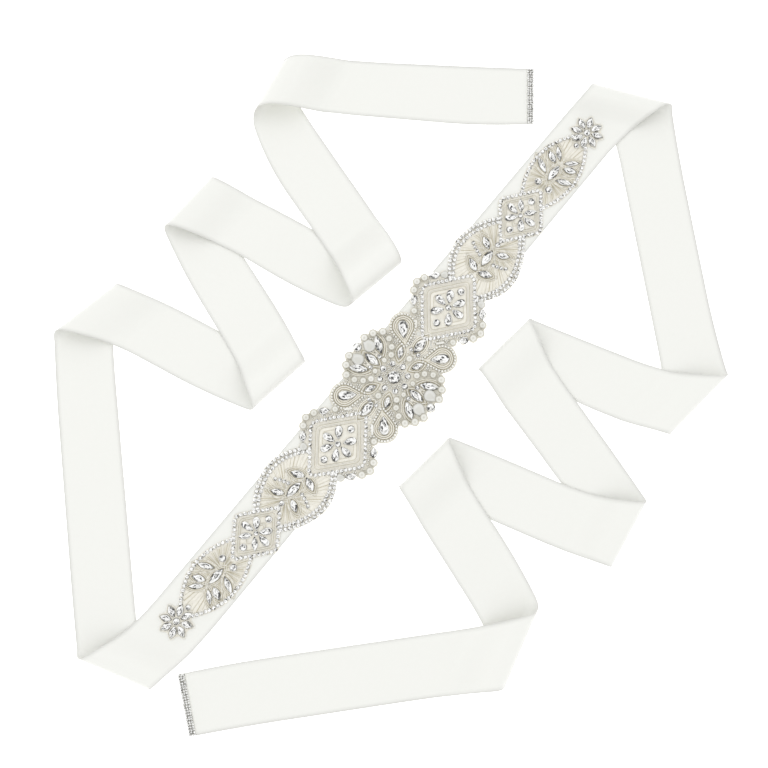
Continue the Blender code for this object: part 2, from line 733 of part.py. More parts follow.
def build_applique(stretch):
    place = on_middle_stretch(stretch)
    plates = {"medallion": medallion_plate()}
    for side, outward in (("right", 1), ("left", -1)):
        plates[f"diamond_{side}"] = diamond_plate(outward)
        plates[f"oval_{side}"] = oval_plate(
            OVAL, OVAL_STONES, OVAL_AT, outward, diamond_outline, small_diamond_outline,
            OVAL_CHAIN_HALF, 75.0, 117.0)
        plates[f"small_diamond_{side}"] = small_diamond_plate(outward)
        plates[f"end_oval_{side}"] = oval_plate(
            END_OVAL, END_OVAL_STONES, END_OVAL_AT, outward, small_diamond_outline, flower_outline,
            CHAIN_HALF, 145.0, 190.0)
        plates[f"tip_flower_{side}"] = flower_plate(outward)
    for name, plate in plates.items():
        beadwork = principled(f"beadwork_{name}", (0.78, 0.76, 0.70), 0.25)
        bent = name.startswith(("end_oval", "tip_flower"))
        plate.solid(name, place, PLATE, beadwork, bent)


# ---------------------------------------------------------------- the end trims


def build_trim(name, stretch, cut, material):
    """Two ribs of stones across the ribbon's cut end, on top of the cloth."""
    start, end = np.array(cut[0]), np.array(cut[1])
    before = stretch.edge_points("p", np.array([0.9]))[0, :2]
    if (before - start) @ left_of(unit(end - start)) < 0:
        start, end = end, start
    across = unit(end - start)
    back = left_of(across)
    width = np.hypot(*(end - start)) - 2 * TRIM_INSET
    corner = start + (across + back) * TRIM_INSET

    def rectangle(x0, y0, x1, y1):
        return np.array([[x0, y0], [x1, y0], [x1, y1], [x0, y1]])

    plate = Plate(rectangle(0, 0, width, TRIM_LENGTH))
    rib = TRIM_LENGTH / 2
    for row in range(2):
        low, high = row * rib + 0.15, (row + 1) * rib - 0.15
        foot = rectangle(0.2, low, width - 0.2, high)
        top = rectangle(0.7, low + 0.5, width - 0.7, high - 0.5)
        plate.raise_form(foot, top, TRIM_RIB)

    def place(x, y, height):
        return (*(corner + x * across + y * back), WALL + SEAM + height)

    plate.solid(name, place, TRIM_PLATE, material)


# ---------------------------------------------------------------- the whole sash


def clear_scene():
    for thing in list(bpy.data.objects):
        bpy.data.objects.remove(thing)


def main():
    clear_scene()
    middle = Stretch("ribbon_middle", FOLDS["left"][0], FOLDS["right"][0], MIDDLE_SWING, True, True)
    stretches = [middle]
    tails = {}
    for side, folds in FOLDS.items():
        stops = folds[1:] + [CUT_ENDS[side]]
        for number, (start, stop, swing) in enumerate(zip(folds, stops, SWINGS[side]), 1):
            tails[side] = Stretch(f"ribbon_{side}_{number}", start, stop, swing, number > 1)
            stretches.append(tails[side])
    for stretch in stretches:
        ribbon_solid(stretch, principled(f"satin_{stretch.name}", (0.91, 0.90, 0.85), 0.38))
    build_applique(middle)
    for side, stretch in tails.items():
        trim = principled(f"rhinestones_{side}", (0.70, 0.70, 0.66), 0.2, 0.6)
        build_trim(f"end_trim_{side}", stretch, CUT_ENDS[side], trim)


main()
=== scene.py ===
# %% [markdown]
# # A bridal sash, laid out flat
# One length of ivory satin ribbon lies in a zigzag. Its middle stretch carries beadwork: faceted
# crystals, pearls, milky stones, cup chain, bugle beads and seed beads on a sheer ground.
# This notebook dresses the solid model of the sash. It starts by loading that model, because every
# piece below is placed in its frame: metres, +Z up, the origin in the middle of the sash.

# %% Load the solid model
import math
from collections import namedtuple

import bpy
import numpy as np
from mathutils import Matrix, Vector
from mathutils.geometry import delaunay_2d_cdt


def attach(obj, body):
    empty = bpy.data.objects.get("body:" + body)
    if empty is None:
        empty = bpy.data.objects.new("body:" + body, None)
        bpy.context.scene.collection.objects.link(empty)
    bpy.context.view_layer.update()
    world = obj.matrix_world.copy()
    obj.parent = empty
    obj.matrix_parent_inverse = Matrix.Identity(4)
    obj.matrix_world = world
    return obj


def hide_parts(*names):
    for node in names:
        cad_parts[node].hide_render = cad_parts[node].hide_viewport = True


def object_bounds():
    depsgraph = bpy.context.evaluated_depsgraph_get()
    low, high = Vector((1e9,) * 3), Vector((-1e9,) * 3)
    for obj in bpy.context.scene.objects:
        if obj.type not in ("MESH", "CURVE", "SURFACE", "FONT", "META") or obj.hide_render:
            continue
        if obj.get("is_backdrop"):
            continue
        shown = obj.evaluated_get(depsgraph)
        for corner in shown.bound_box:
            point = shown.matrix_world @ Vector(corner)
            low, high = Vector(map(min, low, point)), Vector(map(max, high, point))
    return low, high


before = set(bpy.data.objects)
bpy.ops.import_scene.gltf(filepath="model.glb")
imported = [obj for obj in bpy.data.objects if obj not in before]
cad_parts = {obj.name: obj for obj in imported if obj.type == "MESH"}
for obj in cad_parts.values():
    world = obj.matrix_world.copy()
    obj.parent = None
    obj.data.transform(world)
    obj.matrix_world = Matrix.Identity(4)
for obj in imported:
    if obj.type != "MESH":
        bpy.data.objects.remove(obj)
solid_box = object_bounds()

MM = 0.001
print("solids:", len(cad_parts), "box in mm:",
      [[round(value / MM, 1) for value in corner] for corner in solid_box])

# %% [markdown]
# ## Where the ribbon folds
# The real ribbon was laid down in zigzags without being pressed, so each turn is a soft loop.
# A fold is described by its outermost line, from the p edge to the q edge, and by the shape of its
# loop. All the sizes are in millimetres. The edges between two folds aren't quite straight, because
# a satin ribbon swings a little as it is laid, so each stretch also has its swings.

# %% The folds
Fold = namedtuple("Fold", "p q low high fall lap")
Swing = namedtuple("Swing", "p_first p_last q_first q_last")

FOLDS = {
    "right": [
        Fold((132.4, 195.2), (181.6, 181.6), 5.0, 5.0, 18.0, 33.0),
        Fold((173.8, -30.6), (211.1, 6.4), 4.0, 4.0, 26.0, 29.0),
        Fold((54.8, 9.9), (87.4, 42.0), 5.5, 4.5, 28.0, 59.0),
        Fold((134.8, -111.9), (157.3, -72.2), 5.5, 5.0, 28.0, 50.0),
        Fold((5.4, -63.0), (36.0, -33.3), 5.5, 5.5, 28.0, 55.0),
        Fold((68.7, -182.7), (89.4, -137.0), 7.0, 5.5, 30.0, 25.0),
    ],
    "left": [
        Fold((-188.8, -166.4), (-145.6, -184.3), 5.5, 5.5, 26.0, 33.0),
        Fold((-210.2, 33.1), (-173.3, 62.8), 6.0, 5.0, 28.0, 27.0),
        Fold((-85.3, -15.1), (-53.3, 14.1), 5.5, 6.0, 28.0, 54.0),
        Fold((-143.2, 100.6), (-114.3, 132.2), 6.0, 5.0, 28.0, 50.0),
        Fold((-24.4, 50.3), (6.8, 76.7), 9.0, 9.0, 30.0, 54.0),
        Fold((-87.2, 175.7), (-70.7, 206.6), 7.0, 9.5, 30.0, 22.0),
    ],
}
CUT_ENDS = {
    "right": ((-121.2, -213.4), (-129.2, -176.7)),
    "left": ((92.9, 170.8), (93.6, 208.1)),
}
MIDDLE_SWING = Swing(-11.2, 0.7, -4.8, 9.8)
SWINGS = {
    "right": [
        Swing(6.2, 2.6, -1.7, -3.0), Swing(4.4, -6.9, 10.7, 0.6), Swing(0.4, 5.4, -5.5, 1.2),
        Swing(2.5, -2.7, 9.8, -1.3), Swing(-0.1, 7.3, -5.3, 4.7), Swing(-1.8, -1.2, 3.0, -2.0),
    ],
    "left": [
        Swing(0.5, 1.6, 3.6, 4.3), Swing(9.6, -4.3, 3.9, -6.4), Swing(-5.9, 4.3, -2.8, 8.6),
        Swing(8.7, -5.8, 1.9, -3.9), Swing(-6.8, 10.0, -3.6, 1.9), Swing(2.7, -4.3, 4.6, -0.5),
    ],
}
RIBBON_WIDTH = 38.0
SATIN = 0.35            # thickness of the satin
SWING_REACH = 60.0      # how far along a stretch its swings are felt
LAP_LIFT = 0.9          # how high the satin lies while it crosses the stretch below
LAP_STEP = 20.0         # the run over which it then comes down
print("folds:", sum(len(folds) for folds in FOLDS.values()))

# %% [markdown]
# ## The shape of one fold
# Seen from the side, a fold is two halves that meet at its outermost line: a low quarter circle
# that comes up from the surface, and a high one that goes over and then falls gently to the stretch
# below. Following the cloth by its used length, and not by its shadow, keeps the ribbon's real
# length right: that is what stops a folded strip from looking stretched.

# %% Half a fold in profile
LOOP_STEPS, FALL_STEPS = 40, 160    # points of a profile in its loop and beyond it
LOOP_ROW, FALL_ROW = 0.8, 1.6       # from one row of the mesh to the next
LOOP_LENGTH = 1.6                   # cloth in a quarter loop, for each mm of its radius


def ease(t):
    """1 before t = 0, 0 after t = 1, level at both ends."""
    t = np.clip(t, 0.0, 1.0)
    return (1.0 - t) ** 2 * (1.0 + 2.0 * t)


def left_of(direction):
    return np.array([-direction[1], direction[0]])


def unit(vector):
    return vector / np.hypot(*vector)


class HalfFold:
    """used is the length of cloth from the outermost line, reach the distance back inward."""

    def __init__(self, fold, upper):
        angle = np.linspace(0.0, math.pi / 2, LOOP_STEPS)
        if upper:
            lap = max(fold.lap, fold.high + fold.fall)
            run = np.linspace(fold.high, lap + LAP_STEP, FALL_STEPS)[1:]
            drop = fold.low + fold.high - LAP_LIFT
            falling = (drop * ease((run - fold.high) / fold.fall)
                       + LAP_LIFT * ease((run - lap) / LAP_STEP))
            reach = np.concatenate([fold.high * (1 - np.cos(angle)), run])
            height = np.concatenate([fold.low + fold.high * np.sin(angle), falling])
        else:
            reach = fold.low * (1 - np.cos(angle))
            height = fold.low * (1 - np.sin(angle))
        self.reach, self.height = reach, height
        self.used = np.concatenate([[0.0], np.cumsum(np.hypot(np.diff(reach), np.diff(height)))])
        self.slack = self.used[-1] - reach[-1]

    def rows(self):
        """Lengths at which the mesh gets a row: close in the loop, wider in the gentle fall."""
        loop = LOOP_LENGTH * self.reach[LOOP_STEPS - 1]
        return np.concatenate([np.arange(0.0, loop, LOOP_ROW),
                               np.arange(loop, self.used[-1], FALL_ROW), [self.used[-1]]])

    def shift_and_lift(self, used):
        used = np.maximum(used, 0.0)
        reach = np.interp(used, self.used, self.reach)
        lift = np.interp(used, self.used, self.height)
        beyond = used > self.used[-1]
        return np.where(beyond, 0.0, used - self.slack - reach), np.where(beyond, 0.0, lift)


class FoldEnd:
    """A fold as one of its two stretches sees it."""

    def __init__(self, fold, upper, middle_of_stretch):
        p, q = np.array(fold.p), np.array(fold.q)
        out = left_of(unit(q - p))
        if (middle_of_stretch - (p + q) / 2) @ out > 0:
            out = -out
        self.out, self.line, self.half = out, p, HalfFold(fold, upper)
        self.corner_p = p + self.half.slack * out
        self.corner_q = q + self.half.slack * out

    def length_to(self, flat_points):
        return (self.corner_p - flat_points) @ self.out

    def lift_at(self, points):
        return np.interp((self.line - points) @ self.out, self.half.reach, self.half.height)


# %% [markdown]
# ## One stretch of ribbon
# Between two folds both edges are known lines. Rows of the mesh join them: parallel to the fold
# where the cloth bends, and turning evenly from one fold's direction to the other's in between.

# %% A stretch between two folds
def flat_edge(start, end, swing_first, swing_last, share):
    run = end - start
    length = np.hypot(*run)
    reach = min(SWING_REACH, length / 2)
    near = np.clip(1 - share * length / reach, 0, 1) ** 2
    far = np.clip(1 - (1 - share) * length / reach, 0, 1) ** 2
    offset = swing_first * (1 - share - near) + swing_last * (share - far)
    return start + np.outer(share, run) + np.outer(offset, left_of(run / length))


class Stretch:
    FINE = np.linspace(0.0, 1.0, 481)
    ROW_PITCH = 4.0

    def __init__(self, first, last, swing, first_upper, last_upper=False):
        stops = (first, last)
        corners_p = [np.array(stop[0]) for stop in stops]
        corners_q = [np.array(stop[1]) for stop in stops]
        middle = (sum(corners_p) + sum(corners_q)) / 4
        self.ends = []
        for index, (stop, upper) in enumerate(zip(stops, (first_upper, last_upper))):
            end = FoldEnd(stop, upper, middle) if isinstance(stop, Fold) else None
            if end:
                corners_p[index], corners_q[index] = end.corner_p, end.corner_q
            self.ends.append(end)
        self.edges = ((*corners_p, swing.p_first, swing.p_last),
                      (*corners_q, swing.q_first, swing.q_last))

    def shares(self, edge):
        """Shares along one edge, p or q, of every row from the first fold to the last."""
        parts = []
        for index, end in enumerate(self.ends):
            if end is None:
                parts.append(np.array([float(index)]))
                continue
            away = end.length_to(flat_edge(*self.edges[edge], self.FINE))
            order = slice(None) if index == 0 else slice(None, None, -1)
            found = np.interp(end.half.rows(), away[order], self.FINE[order])
            parts.append(found[order])
        gap = (parts[1][0] - parts[0][-1]) * np.hypot(*(self.edges[0][1] - self.edges[0][0]))
        return parts, max(4, int(gap / self.ROW_PITCH))

    def rows(self):
        """(rows, 2, 3): the p edge's and the q edge's points, in mm."""
        parts = [self.shares(edge) for edge in (0, 1)]
        count = parts[0][1]
        rows = []
        for edge, ((head, tail), _) in enumerate(parts):
            between = np.linspace(head[-1], tail[0], count + 2)[1:-1]
            flat = flat_edge(*self.edges[edge], np.concatenate([head, between, tail]))
            place, height = flat.copy(), np.full(len(flat), SATIN / 2)
            for end in self.ends:
                if end:
                    shift, lift = end.half.shift_and_lift(end.length_to(flat))
                    place += np.outer(shift, end.out)
                    height += lift
            rows.append(np.column_stack([place, height]))
        return np.stack(rows, axis=1)

    def lift_at(self, points):
        return sum(end.lift_at(points) for end in self.ends if end)


middle_stretch = Stretch(FOLDS["left"][0], FOLDS["right"][0], MIDDLE_SWING, True, True)
tails = {}
for side, folds in FOLDS.items():
    stops = folds[1:] + [CUT_ENDS[side]]
    tails[side] = [Stretch(start, stop, swing, number > 0)
                   for number, (start, stop, swing) in enumerate(zip(folds, stops, SWINGS[side]))]
print("stretches:", 1 + sum(len(tail) for tail in tails.values()))

# %% [markdown]
# ## The whole ribbon
# The solids are cut at every fold, but the real ribbon is one length, so the visible ribbon is too.
# It runs from one cut end through all thirteen stretches to the other. Its UV map is laid out in
# millimetres of cloth, U across and V along, so a weave follows the ribbon round every loop. Each
# point also stores its tilt, 0 where the cloth lies flat and 1 where it stands on edge in a loop.

# %% Lay the ribbon
COLUMNS = 12            # faces across the ribbon


def new_object(name, mesh):
    thing = bpy.data.objects.new(name, mesh)
    bpy.context.scene.collection.objects.link(thing)
    return thing


def plain_mesh(thing):
    """The evaluated object as a plain mesh, in place of the object and its modifiers."""
    evaluated = thing.evaluated_get(bpy.context.evaluated_depsgraph_get())
    mesh = bpy.data.meshes.new_from_object(evaluated)
    name = thing.name
    bpy.data.objects.remove(thing)
    mesh.name = name
    return new_object(name, mesh)


def ribbon_rows():
    pieces = [stretch.rows()[::-1] for stretch in tails["right"][::-1]]
    pieces.append(middle_stretch.rows()[::-1])
    pieces += [stretch.rows() for stretch in tails["left"]]
    return np.concatenate([pieces[0]] + [piece[1:] for piece in pieces[1:]])


def lay_ribbon(name):
    rows = ribbon_rows()
    share = np.linspace(0.0, 1.0, COLUMNS + 1)[None, :, None]
    grid = rows[:, :1] * (1 - share) + rows[:, 1:] * share
    steps = np.linalg.norm(np.diff(rows.mean(axis=1), axis=0), axis=1)
    along = np.concatenate([[0.0], np.cumsum(steps)])
    count, wide = grid.shape[:2]
    corner = (np.arange(count - 1)[:, None] * wide + np.arange(wide - 1)).ravel()
    faces = np.column_stack([corner, corner + 1, corner + wide + 1, corner + wide])
    mesh = bpy.data.meshes.new(name)
    mesh.from_pydata(grid.reshape(-1, 3) * MM, [], faces.tolist())
    uv = np.stack(np.meshgrid(np.linspace(0, RIBBON_WIDTH, wide), along), axis=-1).reshape(-1, 2)
    layer = mesh.uv_layers.new(name="cloth_mm")
    layer.uv.foreach_set("vector", uv[faces.ravel()].ravel())
    mesh.shade_smooth()
    thing = new_object(name, mesh)
    wall = thing.modifiers.new("satin wall", "SOLIDIFY")
    wall.thickness = SATIN * MM
    wall.offset = 0.0
    wall.use_even_offset = True
    thing = plain_mesh(thing)
    # the tilt drives the painted shade of the satin at its folds
    tilt = [1.0 - abs(vertex.normal.z) for vertex in thing.data.vertices]
    thing.data.attributes.new("tilt", "FLOAT", "POINT").data.foreach_set("value", tilt)
    return thing, along[-1]


ribbon, ribbon_length = lay_ribbon("satin_ribbon")
print("ribbon length in mm:", round(ribbon_length), "faces:", len(ribbon.data.polygons))

# %% [markdown]
# ## Shader helpers
# Nodes are placed with short helpers, so a material reads as a recipe. Two effects serve several
# finishes, so each is a node group with named inputs: the weave of a cloth, and the light and dark
# of facets, which on a foil-backed stone come from reflections inside it.

# %% Node helpers
def feed(tree, socket, value):
    """Links a socket to a value that is a socket too, or sets it to a plain value."""
    if isinstance(value, bpy.types.NodeSocket):
        tree.links.new(value, socket)
    else:
        socket.default_value = value


def add_node(tree, kind, inputs=None, **settings):
    node = tree.nodes.new(kind)
    for key, value in settings.items():
        setattr(node, key, value)
    for key, value in (inputs or {}).items():
        feed(tree, node.inputs[key], value)
    return node


def math_node(tree, operation, first, second=0.0):
    return add_node(tree, "ShaderNodeMath", {0: first, 1: second}, operation=operation).outputs[0]


def ramp(tree, factor, stops, interpolation="LINEAR"):
    node = add_node(tree, "ShaderNodeValToRGB", {0: factor})
    node.color_ramp.interpolation = interpolation
    while len(node.color_ramp.elements) < len(stops):
        node.color_ramp.elements.new(0.5)
    for element, (place, colour) in zip(node.color_ramp.elements, stops):
        element.position = place
        element.color = (*colour, 1.0)
    return node.outputs["Color"]


def mix_colour(tree, factor, first, second, blend="MIX"):
    """first and second are colours, or sockets that give them."""
    first, second = (value if isinstance(value, bpy.types.NodeSocket) else (*value, 1.0)
                     for value in (first, second))
    return add_node(tree, "ShaderNodeMix", {0: factor, 6: first, 7: second},
                    data_type="RGBA", blend_type=blend).outputs[2]


def read_value(tree, name):
    return add_node(tree, "ShaderNodeAttribute", attribute_name=name).outputs["Fac"]


def noise(tree, place, scale, detail):
    inputs = {"Vector": place, "Scale": scale, "Detail": detail}
    return add_node(tree, "ShaderNodeTexNoise", inputs).outputs["Fac"]


def bump(tree, shader, heights):
    """heights: (socket, strength, distance in metres), from the broadest to the finest."""
    normal = {}
    for height, strength, distance in heights:
        inputs = {"Height": height, "Strength": strength, "Distance": distance, **normal}
        normal = {"Normal": add_node(tree, "ShaderNodeBump", inputs).outputs["Normal"]}
    tree.links.new(normal["Normal"], shader.inputs["Normal"])


def shader_group(name, inputs, outputs):
    """inputs: name -> default; outputs: name -> socket type."""
    tree = bpy.data.node_groups.new(name, "ShaderNodeTree")
    for key, default in inputs.items():
        kind = "NodeSocketVector" if isinstance(default, tuple) else "NodeSocketFloat"
        tree.interface.new_socket(key, in_out="INPUT", socket_type=kind).default_value = default
    for key, kind in outputs.items():
        tree.interface.new_socket(key, in_out="OUTPUT", socket_type=kind)
    given = tree.nodes.new("NodeGroupInput").outputs
    return tree, given, tree.nodes.new("NodeGroupOutput").inputs


def place_group(tree, group, inputs):
    """The outputs of a node group set among a material's nodes."""
    return add_node(tree, "ShaderNodeGroup", inputs, node_tree=group).outputs


def new_material(name, viewport, **values):
    """A Principled material; values are its own sockets, with _ for a space."""
    material = bpy.data.materials.new(name)
    material.use_nodes = True
    material.diffuse_color = (*viewport, 1.0)
    shader = material.node_tree.nodes["Principled BSDF"]
    shader.inputs["Base Color"].default_value = (*viewport, 1.0)
    for key, value in values.items():
        shader.inputs[key.replace("_", " ")].default_value = value
    return material, material.node_tree, shader


# %% The weave group
def build_weave():
    """Threads that cross, each a rounded ridge, going over and under in turn."""
    tree, given, out = shader_group(
        "cloth_weave",
        {"Cloth": (0.0, 0.0, 0.0), "Across": 4.0, "Along": 4.0, "Float": 1.0},
        {"Height": "NodeSocketFloat", "Shade": "NodeSocketFloat"})
    parts = add_node(tree, "ShaderNodeSeparateXYZ", {0: given["Cloth"]}).outputs
    ridges = []
    for axis, per_mm in ((0, given["Across"]), (1, given["Along"])):
        threads = math_node(tree, "MULTIPLY", parts[axis], per_mm)
        turn = math_node(tree, "MULTIPLY", threads, math.tau)
        ridges.append(math_node(tree, "ABSOLUTE", math_node(tree, "SINE", turn)))
    warp, weft = ridges
    floated = math_node(tree, "MULTIPLY", warp, given["Float"])
    height = math_node(tree, "MAXIMUM", floated, weft)
    tree.links.new(height, out["Height"])
    tree.links.new(noise(tree, given["Cloth"], 0.35, 3.0), out["Shade"])
    return tree


weave_group = build_weave()
print("groups:", weave_group.name)

# %% [markdown]
# ## Ivory satin
# Satin floats its warp threads over several weft threads, which is why it shines in broad soft
# bands and shows almost no texture. The finish is a pale ivory with a low sheen, very fine ridges
# along the ribbon, and a faint unevenness a few centimetres wide where the cloth isn't pressed.
# The woven edges are a little denser. Where the cloth stands on edge in a fold, its colour is darkened
# by its tilt: a painted shade.

# %% The satin
IVORY = (0.862, 0.866, 0.828)
IVORY_SHADE = (0.858, 0.862, 0.823)
SELVEDGE = (0.835, 0.838, 0.80)
# painted shade: the satin's colour where it stands on edge in a fold
PAINTED_FOLD_SHADE = (0.75, 0.75, 0.715)    # where the cloth stands on edge
SELVEDGE_WIDTH = 0.7


def satin_material():
    material, tree, shader = new_material("ivory_satin", IVORY, Roughness=0.42, Sheen_Weight=0.25,
                                          Sheen_Roughness=0.4, Specular_IOR_Level=0.45)
    cloth = add_node(tree, "ShaderNodeUVMap", uv_map="cloth_mm").outputs["UV"]
    across = add_node(tree, "ShaderNodeSeparateXYZ", {0: cloth}).outputs["X"]
    weave = place_group(tree, weave_group,
                        {"Cloth": cloth, "Across": 2.6, "Along": 1.1, "Float": 0.8})
    half = RIBBON_WIDTH / 2
    from_middle = math_node(tree, "ABSOLUTE", math_node(tree, "SUBTRACT", across, half))
    edge = math_node(tree, "GREATER_THAN", from_middle, half - SELVEDGE_WIDTH)
    tone = ramp(tree, weave["Shade"], [(0.35, IVORY_SHADE), (0.60, IVORY)])
    tilt = read_value(tree, "tilt")
    # painted shade: the more the cloth tilts at a fold, the more its colour goes to the darker fold tone
    over = add_node(tree, "ShaderNodeMapRange", {0: tilt, 1: 0.06, 2: 0.8}).outputs[0]
    tone = mix_colour(tree, over, mix_colour(tree, edge, tone, SELVEDGE), PAINTED_FOLD_SHADE)
    tree.links.new(tone, shader.inputs["Base Color"])
    crease = noise(tree, cloth, 0.028, 2.0)
    bump(tree, shader, [(crease, 0.35, 0.002), (weave["Height"], 0.10, 0.00004)])
    return material


ribbon.data.materials.append(satin_material())
print("satin on", ribbon.name)

# %% [markdown]
# ## Where the beadwork lies
# The beadwork runs along the middle stretch, with a slight bow. Its own coordinates are a, outward
# along it from the middle, and b, across it. One function turns a and b into a place on top of the
# satin, so whatever is sewn on follows the cloth, also where it rises to its folds.

# %% From beadwork to sash
AXIS_CENTRE = np.array([-0.9, 9.9])
AXIS_ANGLE = 50.2
AXIS_HALF = 201.0
AXIS_BOW = 5.4
AXIS_ALONG = np.array([math.cos(math.radians(AXIS_ANGLE)), math.sin(math.radians(AXIS_ANGLE))])
AXIS_ACROSS = left_of(AXIS_ALONG)


def on_sash(a, b, up=0.0):
    """Places in mm, (n, 3), for arrays of a and b, at a height above the satin."""
    a, b = np.atleast_1d(np.asarray(a, float)), np.atleast_1d(np.asarray(b, float))
    bow = AXIS_BOW * np.cos(math.pi * a / (2 * AXIS_HALF)) ** 2
    flat = AXIS_CENTRE + np.outer(a, AXIS_ALONG) + np.outer(b - bow, AXIS_ACROSS)
    return np.column_stack([flat, SATIN + middle_stretch.lift_at(flat) + up])


def turned(points, degrees):
    angle = math.radians(degrees)
    cos, sin = math.cos(angle), math.sin(angle)
    return np.asarray(points) @ np.array([[cos, sin], [-sin, cos]])


print("middle of the beadwork in mm:", on_sash(0, 0).round(1).tolist())

# %% [markdown]
# ## The stones' places
# The beadwork is worked from a chart for each kind of motif. A row of a chart is one stone: its
# place in the motif, its length and width, how far it is turned, and which of its mirror images
# exist. A navette and a drop are pointed crystals, a round and the centre are round ones, and an
# opal is a milky stone.

# %% The chart
CHARTS = {
    "medallion": {
        "centre": [(0.0, 0.0, 8.0, 8.0, 10, "")],
        "round": [(8.7, 0.0, 4.0, 4.0, 0, "a"), (0.0, 8.7, 4.0, 4.0, 0, "b"),
            (6.2, 6.2, 3.8, 3.8, 30, "ab"), (0.0, 29.9, 5.4, 5.4, 0, "b"),
            (20.6, 2.8, 2.6, 2.6, 0, "ab"), (4.4, 15.4, 2.8, 2.8, 0, "ab")],
        "drop": [(27.4, 15.0, 11.5, 6.4, 225, "ab")],
        "navette": [(25.8, 0.0, 11.4, 5.6, 0, "a"), (14.8, 7.0, 7.6, 4.0, 27, "ab"),
            (0.0, 18.0, 11.0, 5.0, 90, "b"), (9.9, 20.8, 12.2, 5.2, 59, "ab")],
        "pearl": [(15.2, 0.0, 4.8, 4.8, 0, "a"), (4.5, 11.6, 3.9, 3.9, 0, "ab"),
            (9.9, 10.4, 4.7, 4.7, 0, "ab"), (13.9, 13.4, 4.7, 4.7, 0, "ab"),
            (16.9, 18.0, 4.7, 4.7, 0, "ab"), (7.4, 30.4, 5.2, 5.2, 0, "ab"),
            (13.1, 28.0, 5.2, 5.2, 0, "ab"), (17.8, 23.8, 5.2, 5.2, 0, "ab")],
        "opal": [(5.7, 25.4, 9.4, 7.6, 77, "ab")],
    },
    "diamond": {
        "round": [(0.0, 0.0, 3.8, 3.8, 0, ""), (12.8, 0.0, 4.6, 4.6, 15, ""),
            (-12.4, 0.0, 4.6, 4.6, 15, "")],
        "drop": [(6.0, 3.6, 8.4, 5.2, 211, "b"), (0.5, 6.8, 8.2, 5.0, 264, "b"),
            (-6.0, 4.5, 8.4, 5.2, 323, "b"), (-10.4, 20.2, 6.6, 4.6, 220, "b")],
        "opal": [(14.8, 15.2, 5.2, 4.8, 130, "b")],
        "navette": [(10.2, 19.6, 7.0, 4.4, 139, "b")],
        "pearl": [(5.0, 23.8, 5.0, 5.0, 0, "b"), (0.0, 26.0, 5.0, 5.0, 0, "b"),
            (-5.3, 24.2, 5.0, 5.0, 0, "b"), (-15.6, 15.8, 4.6, 4.6, 0, "b")],
    },
    "oval": {
        "navette": [(-1.2, 0.4, 12.0, 5.2, 4, ""), (6.3, 6.7, 8.6, 4.4, 62, "b"),
            (-10.2, 4.9, 9.2, 4.8, 67, "b")],
        "round": [(-2.2, 5.6, 2.4, 2.4, 0, "b"), (-1.4, 8.2, 2.4, 2.4, 0, "b"),
            (-0.4, 10.8, 2.4, 2.4, 0, "b"), (1.0, 13.3, 2.4, 2.4, 0, "b"),
            (9.9, 0.0, 3.2, 3.2, 0, ""), (12.8, 0.0, 2.4, 2.4, 0, "")],
    },
    "small_diamond": {
        "round": [(0.0, 0.0, 3.0, 3.0, 0, ""), (11.5, 0.0, 4.4, 4.4, 15, ""),
            (-11.5, 0.0, 4.4, 4.4, 15, "")],
        "navette": [(5.4, 3.8, 8.6, 3.9, 42, "b")],
        "drop": [(0.3, 6.6, 8.4, 4.6, 264, "b"), (-4.7, 3.8, 8.4, 4.8, 320, "b")],
    },
    "end_oval": {
        "navette": [(-0.6, 0.0, 12.0, 4.8, 2, ""), (-1.2, 9.0, 11.0, 4.0, 64, "b"),
            (7.2, 7.2, 8.6, 4.4, 66, "b"), (11.8, 5.2, 9.6, 3.4, 48, "b")],
        "round": [(-11.3, 4.4, 4.4, 4.4, 0, "b")],
    },
    "tip_flower": {
        "round": [(0.0, 0.0, 4.2, 4.2, 0, ""), (-10.8, 0.0, 3.4, 3.4, 0, "")],
        "navette": [(6.2, 2.6, 7.4, 4.2, 22.5, "ab"), (2.6, 6.2, 7.4, 4.2, 67.5, "ab")],
    },
}
LEVELS = {      # how high a motif's ground lies above the satin, so which one lies over which
    "medallion": 0.35, "diamond": 0.2, "oval": 0.05,
    "small_diamond": 0.2, "end_oval": 0.05, "tip_flower": 0.2,
}
PLACES = {
    1: {"medallion": (-1.7, -0.2), "diamond": (54.7, 0.8), "oval": (96.3, 0.4),
        "small_diamond": (130.4, 0.4), "end_oval": (166.5, 0.7), "tip_flower": (200.2, 0.4)},
    -1: {"diamond": (-56.2, -1.1), "oval": (-96.5, 0.0), "small_diamond": (-130.5, -0.7),
         "end_oval": (-166.5, 0.0), "tip_flower": (-201.9, 0.4)},
}
Motif = namedtuple("Motif", "name middle outward level")
Stone = namedtuple("Stone", "motif kind a b length width turn")

motifs = [Motif(name, middle, outward, LEVELS[name])
          for outward, places in PLACES.items() for name, middle in places.items()]


def placed(motif):
    """Every stone of a motif, with its mirror images."""
    for kind, rows in CHARTS[motif.name].items():
        for a, b, length, width, turn, mirror in rows:
            images = [(a, b, turn)]
            if "b" in mirror:
                images += [(a, -b, -turn) for a, b, turn in images]
            if "a" in mirror:
                images += [(-a, b, 180 - turn) for a, b, turn in images]
            for a, b, turn in images:
                if motif.outward < 0:
                    a, turn = -a, 180 - turn
                yield Stone(motif, kind, motif.middle[0] + a, motif.middle[1] + b,
                            length, width, turn)


stones = [stone for motif in motifs for stone in placed(motif)]
print("stones:", len(stones))

# %% [markdown]
# ## Outlines of the motifs
# The sheer ground is cut close round each motif. An outline is either a rounded diamond, a pointed
# oval made of two parabolas, or the outer edge of a set of circles round a body, which gives the
# scallops under the rim pearls.

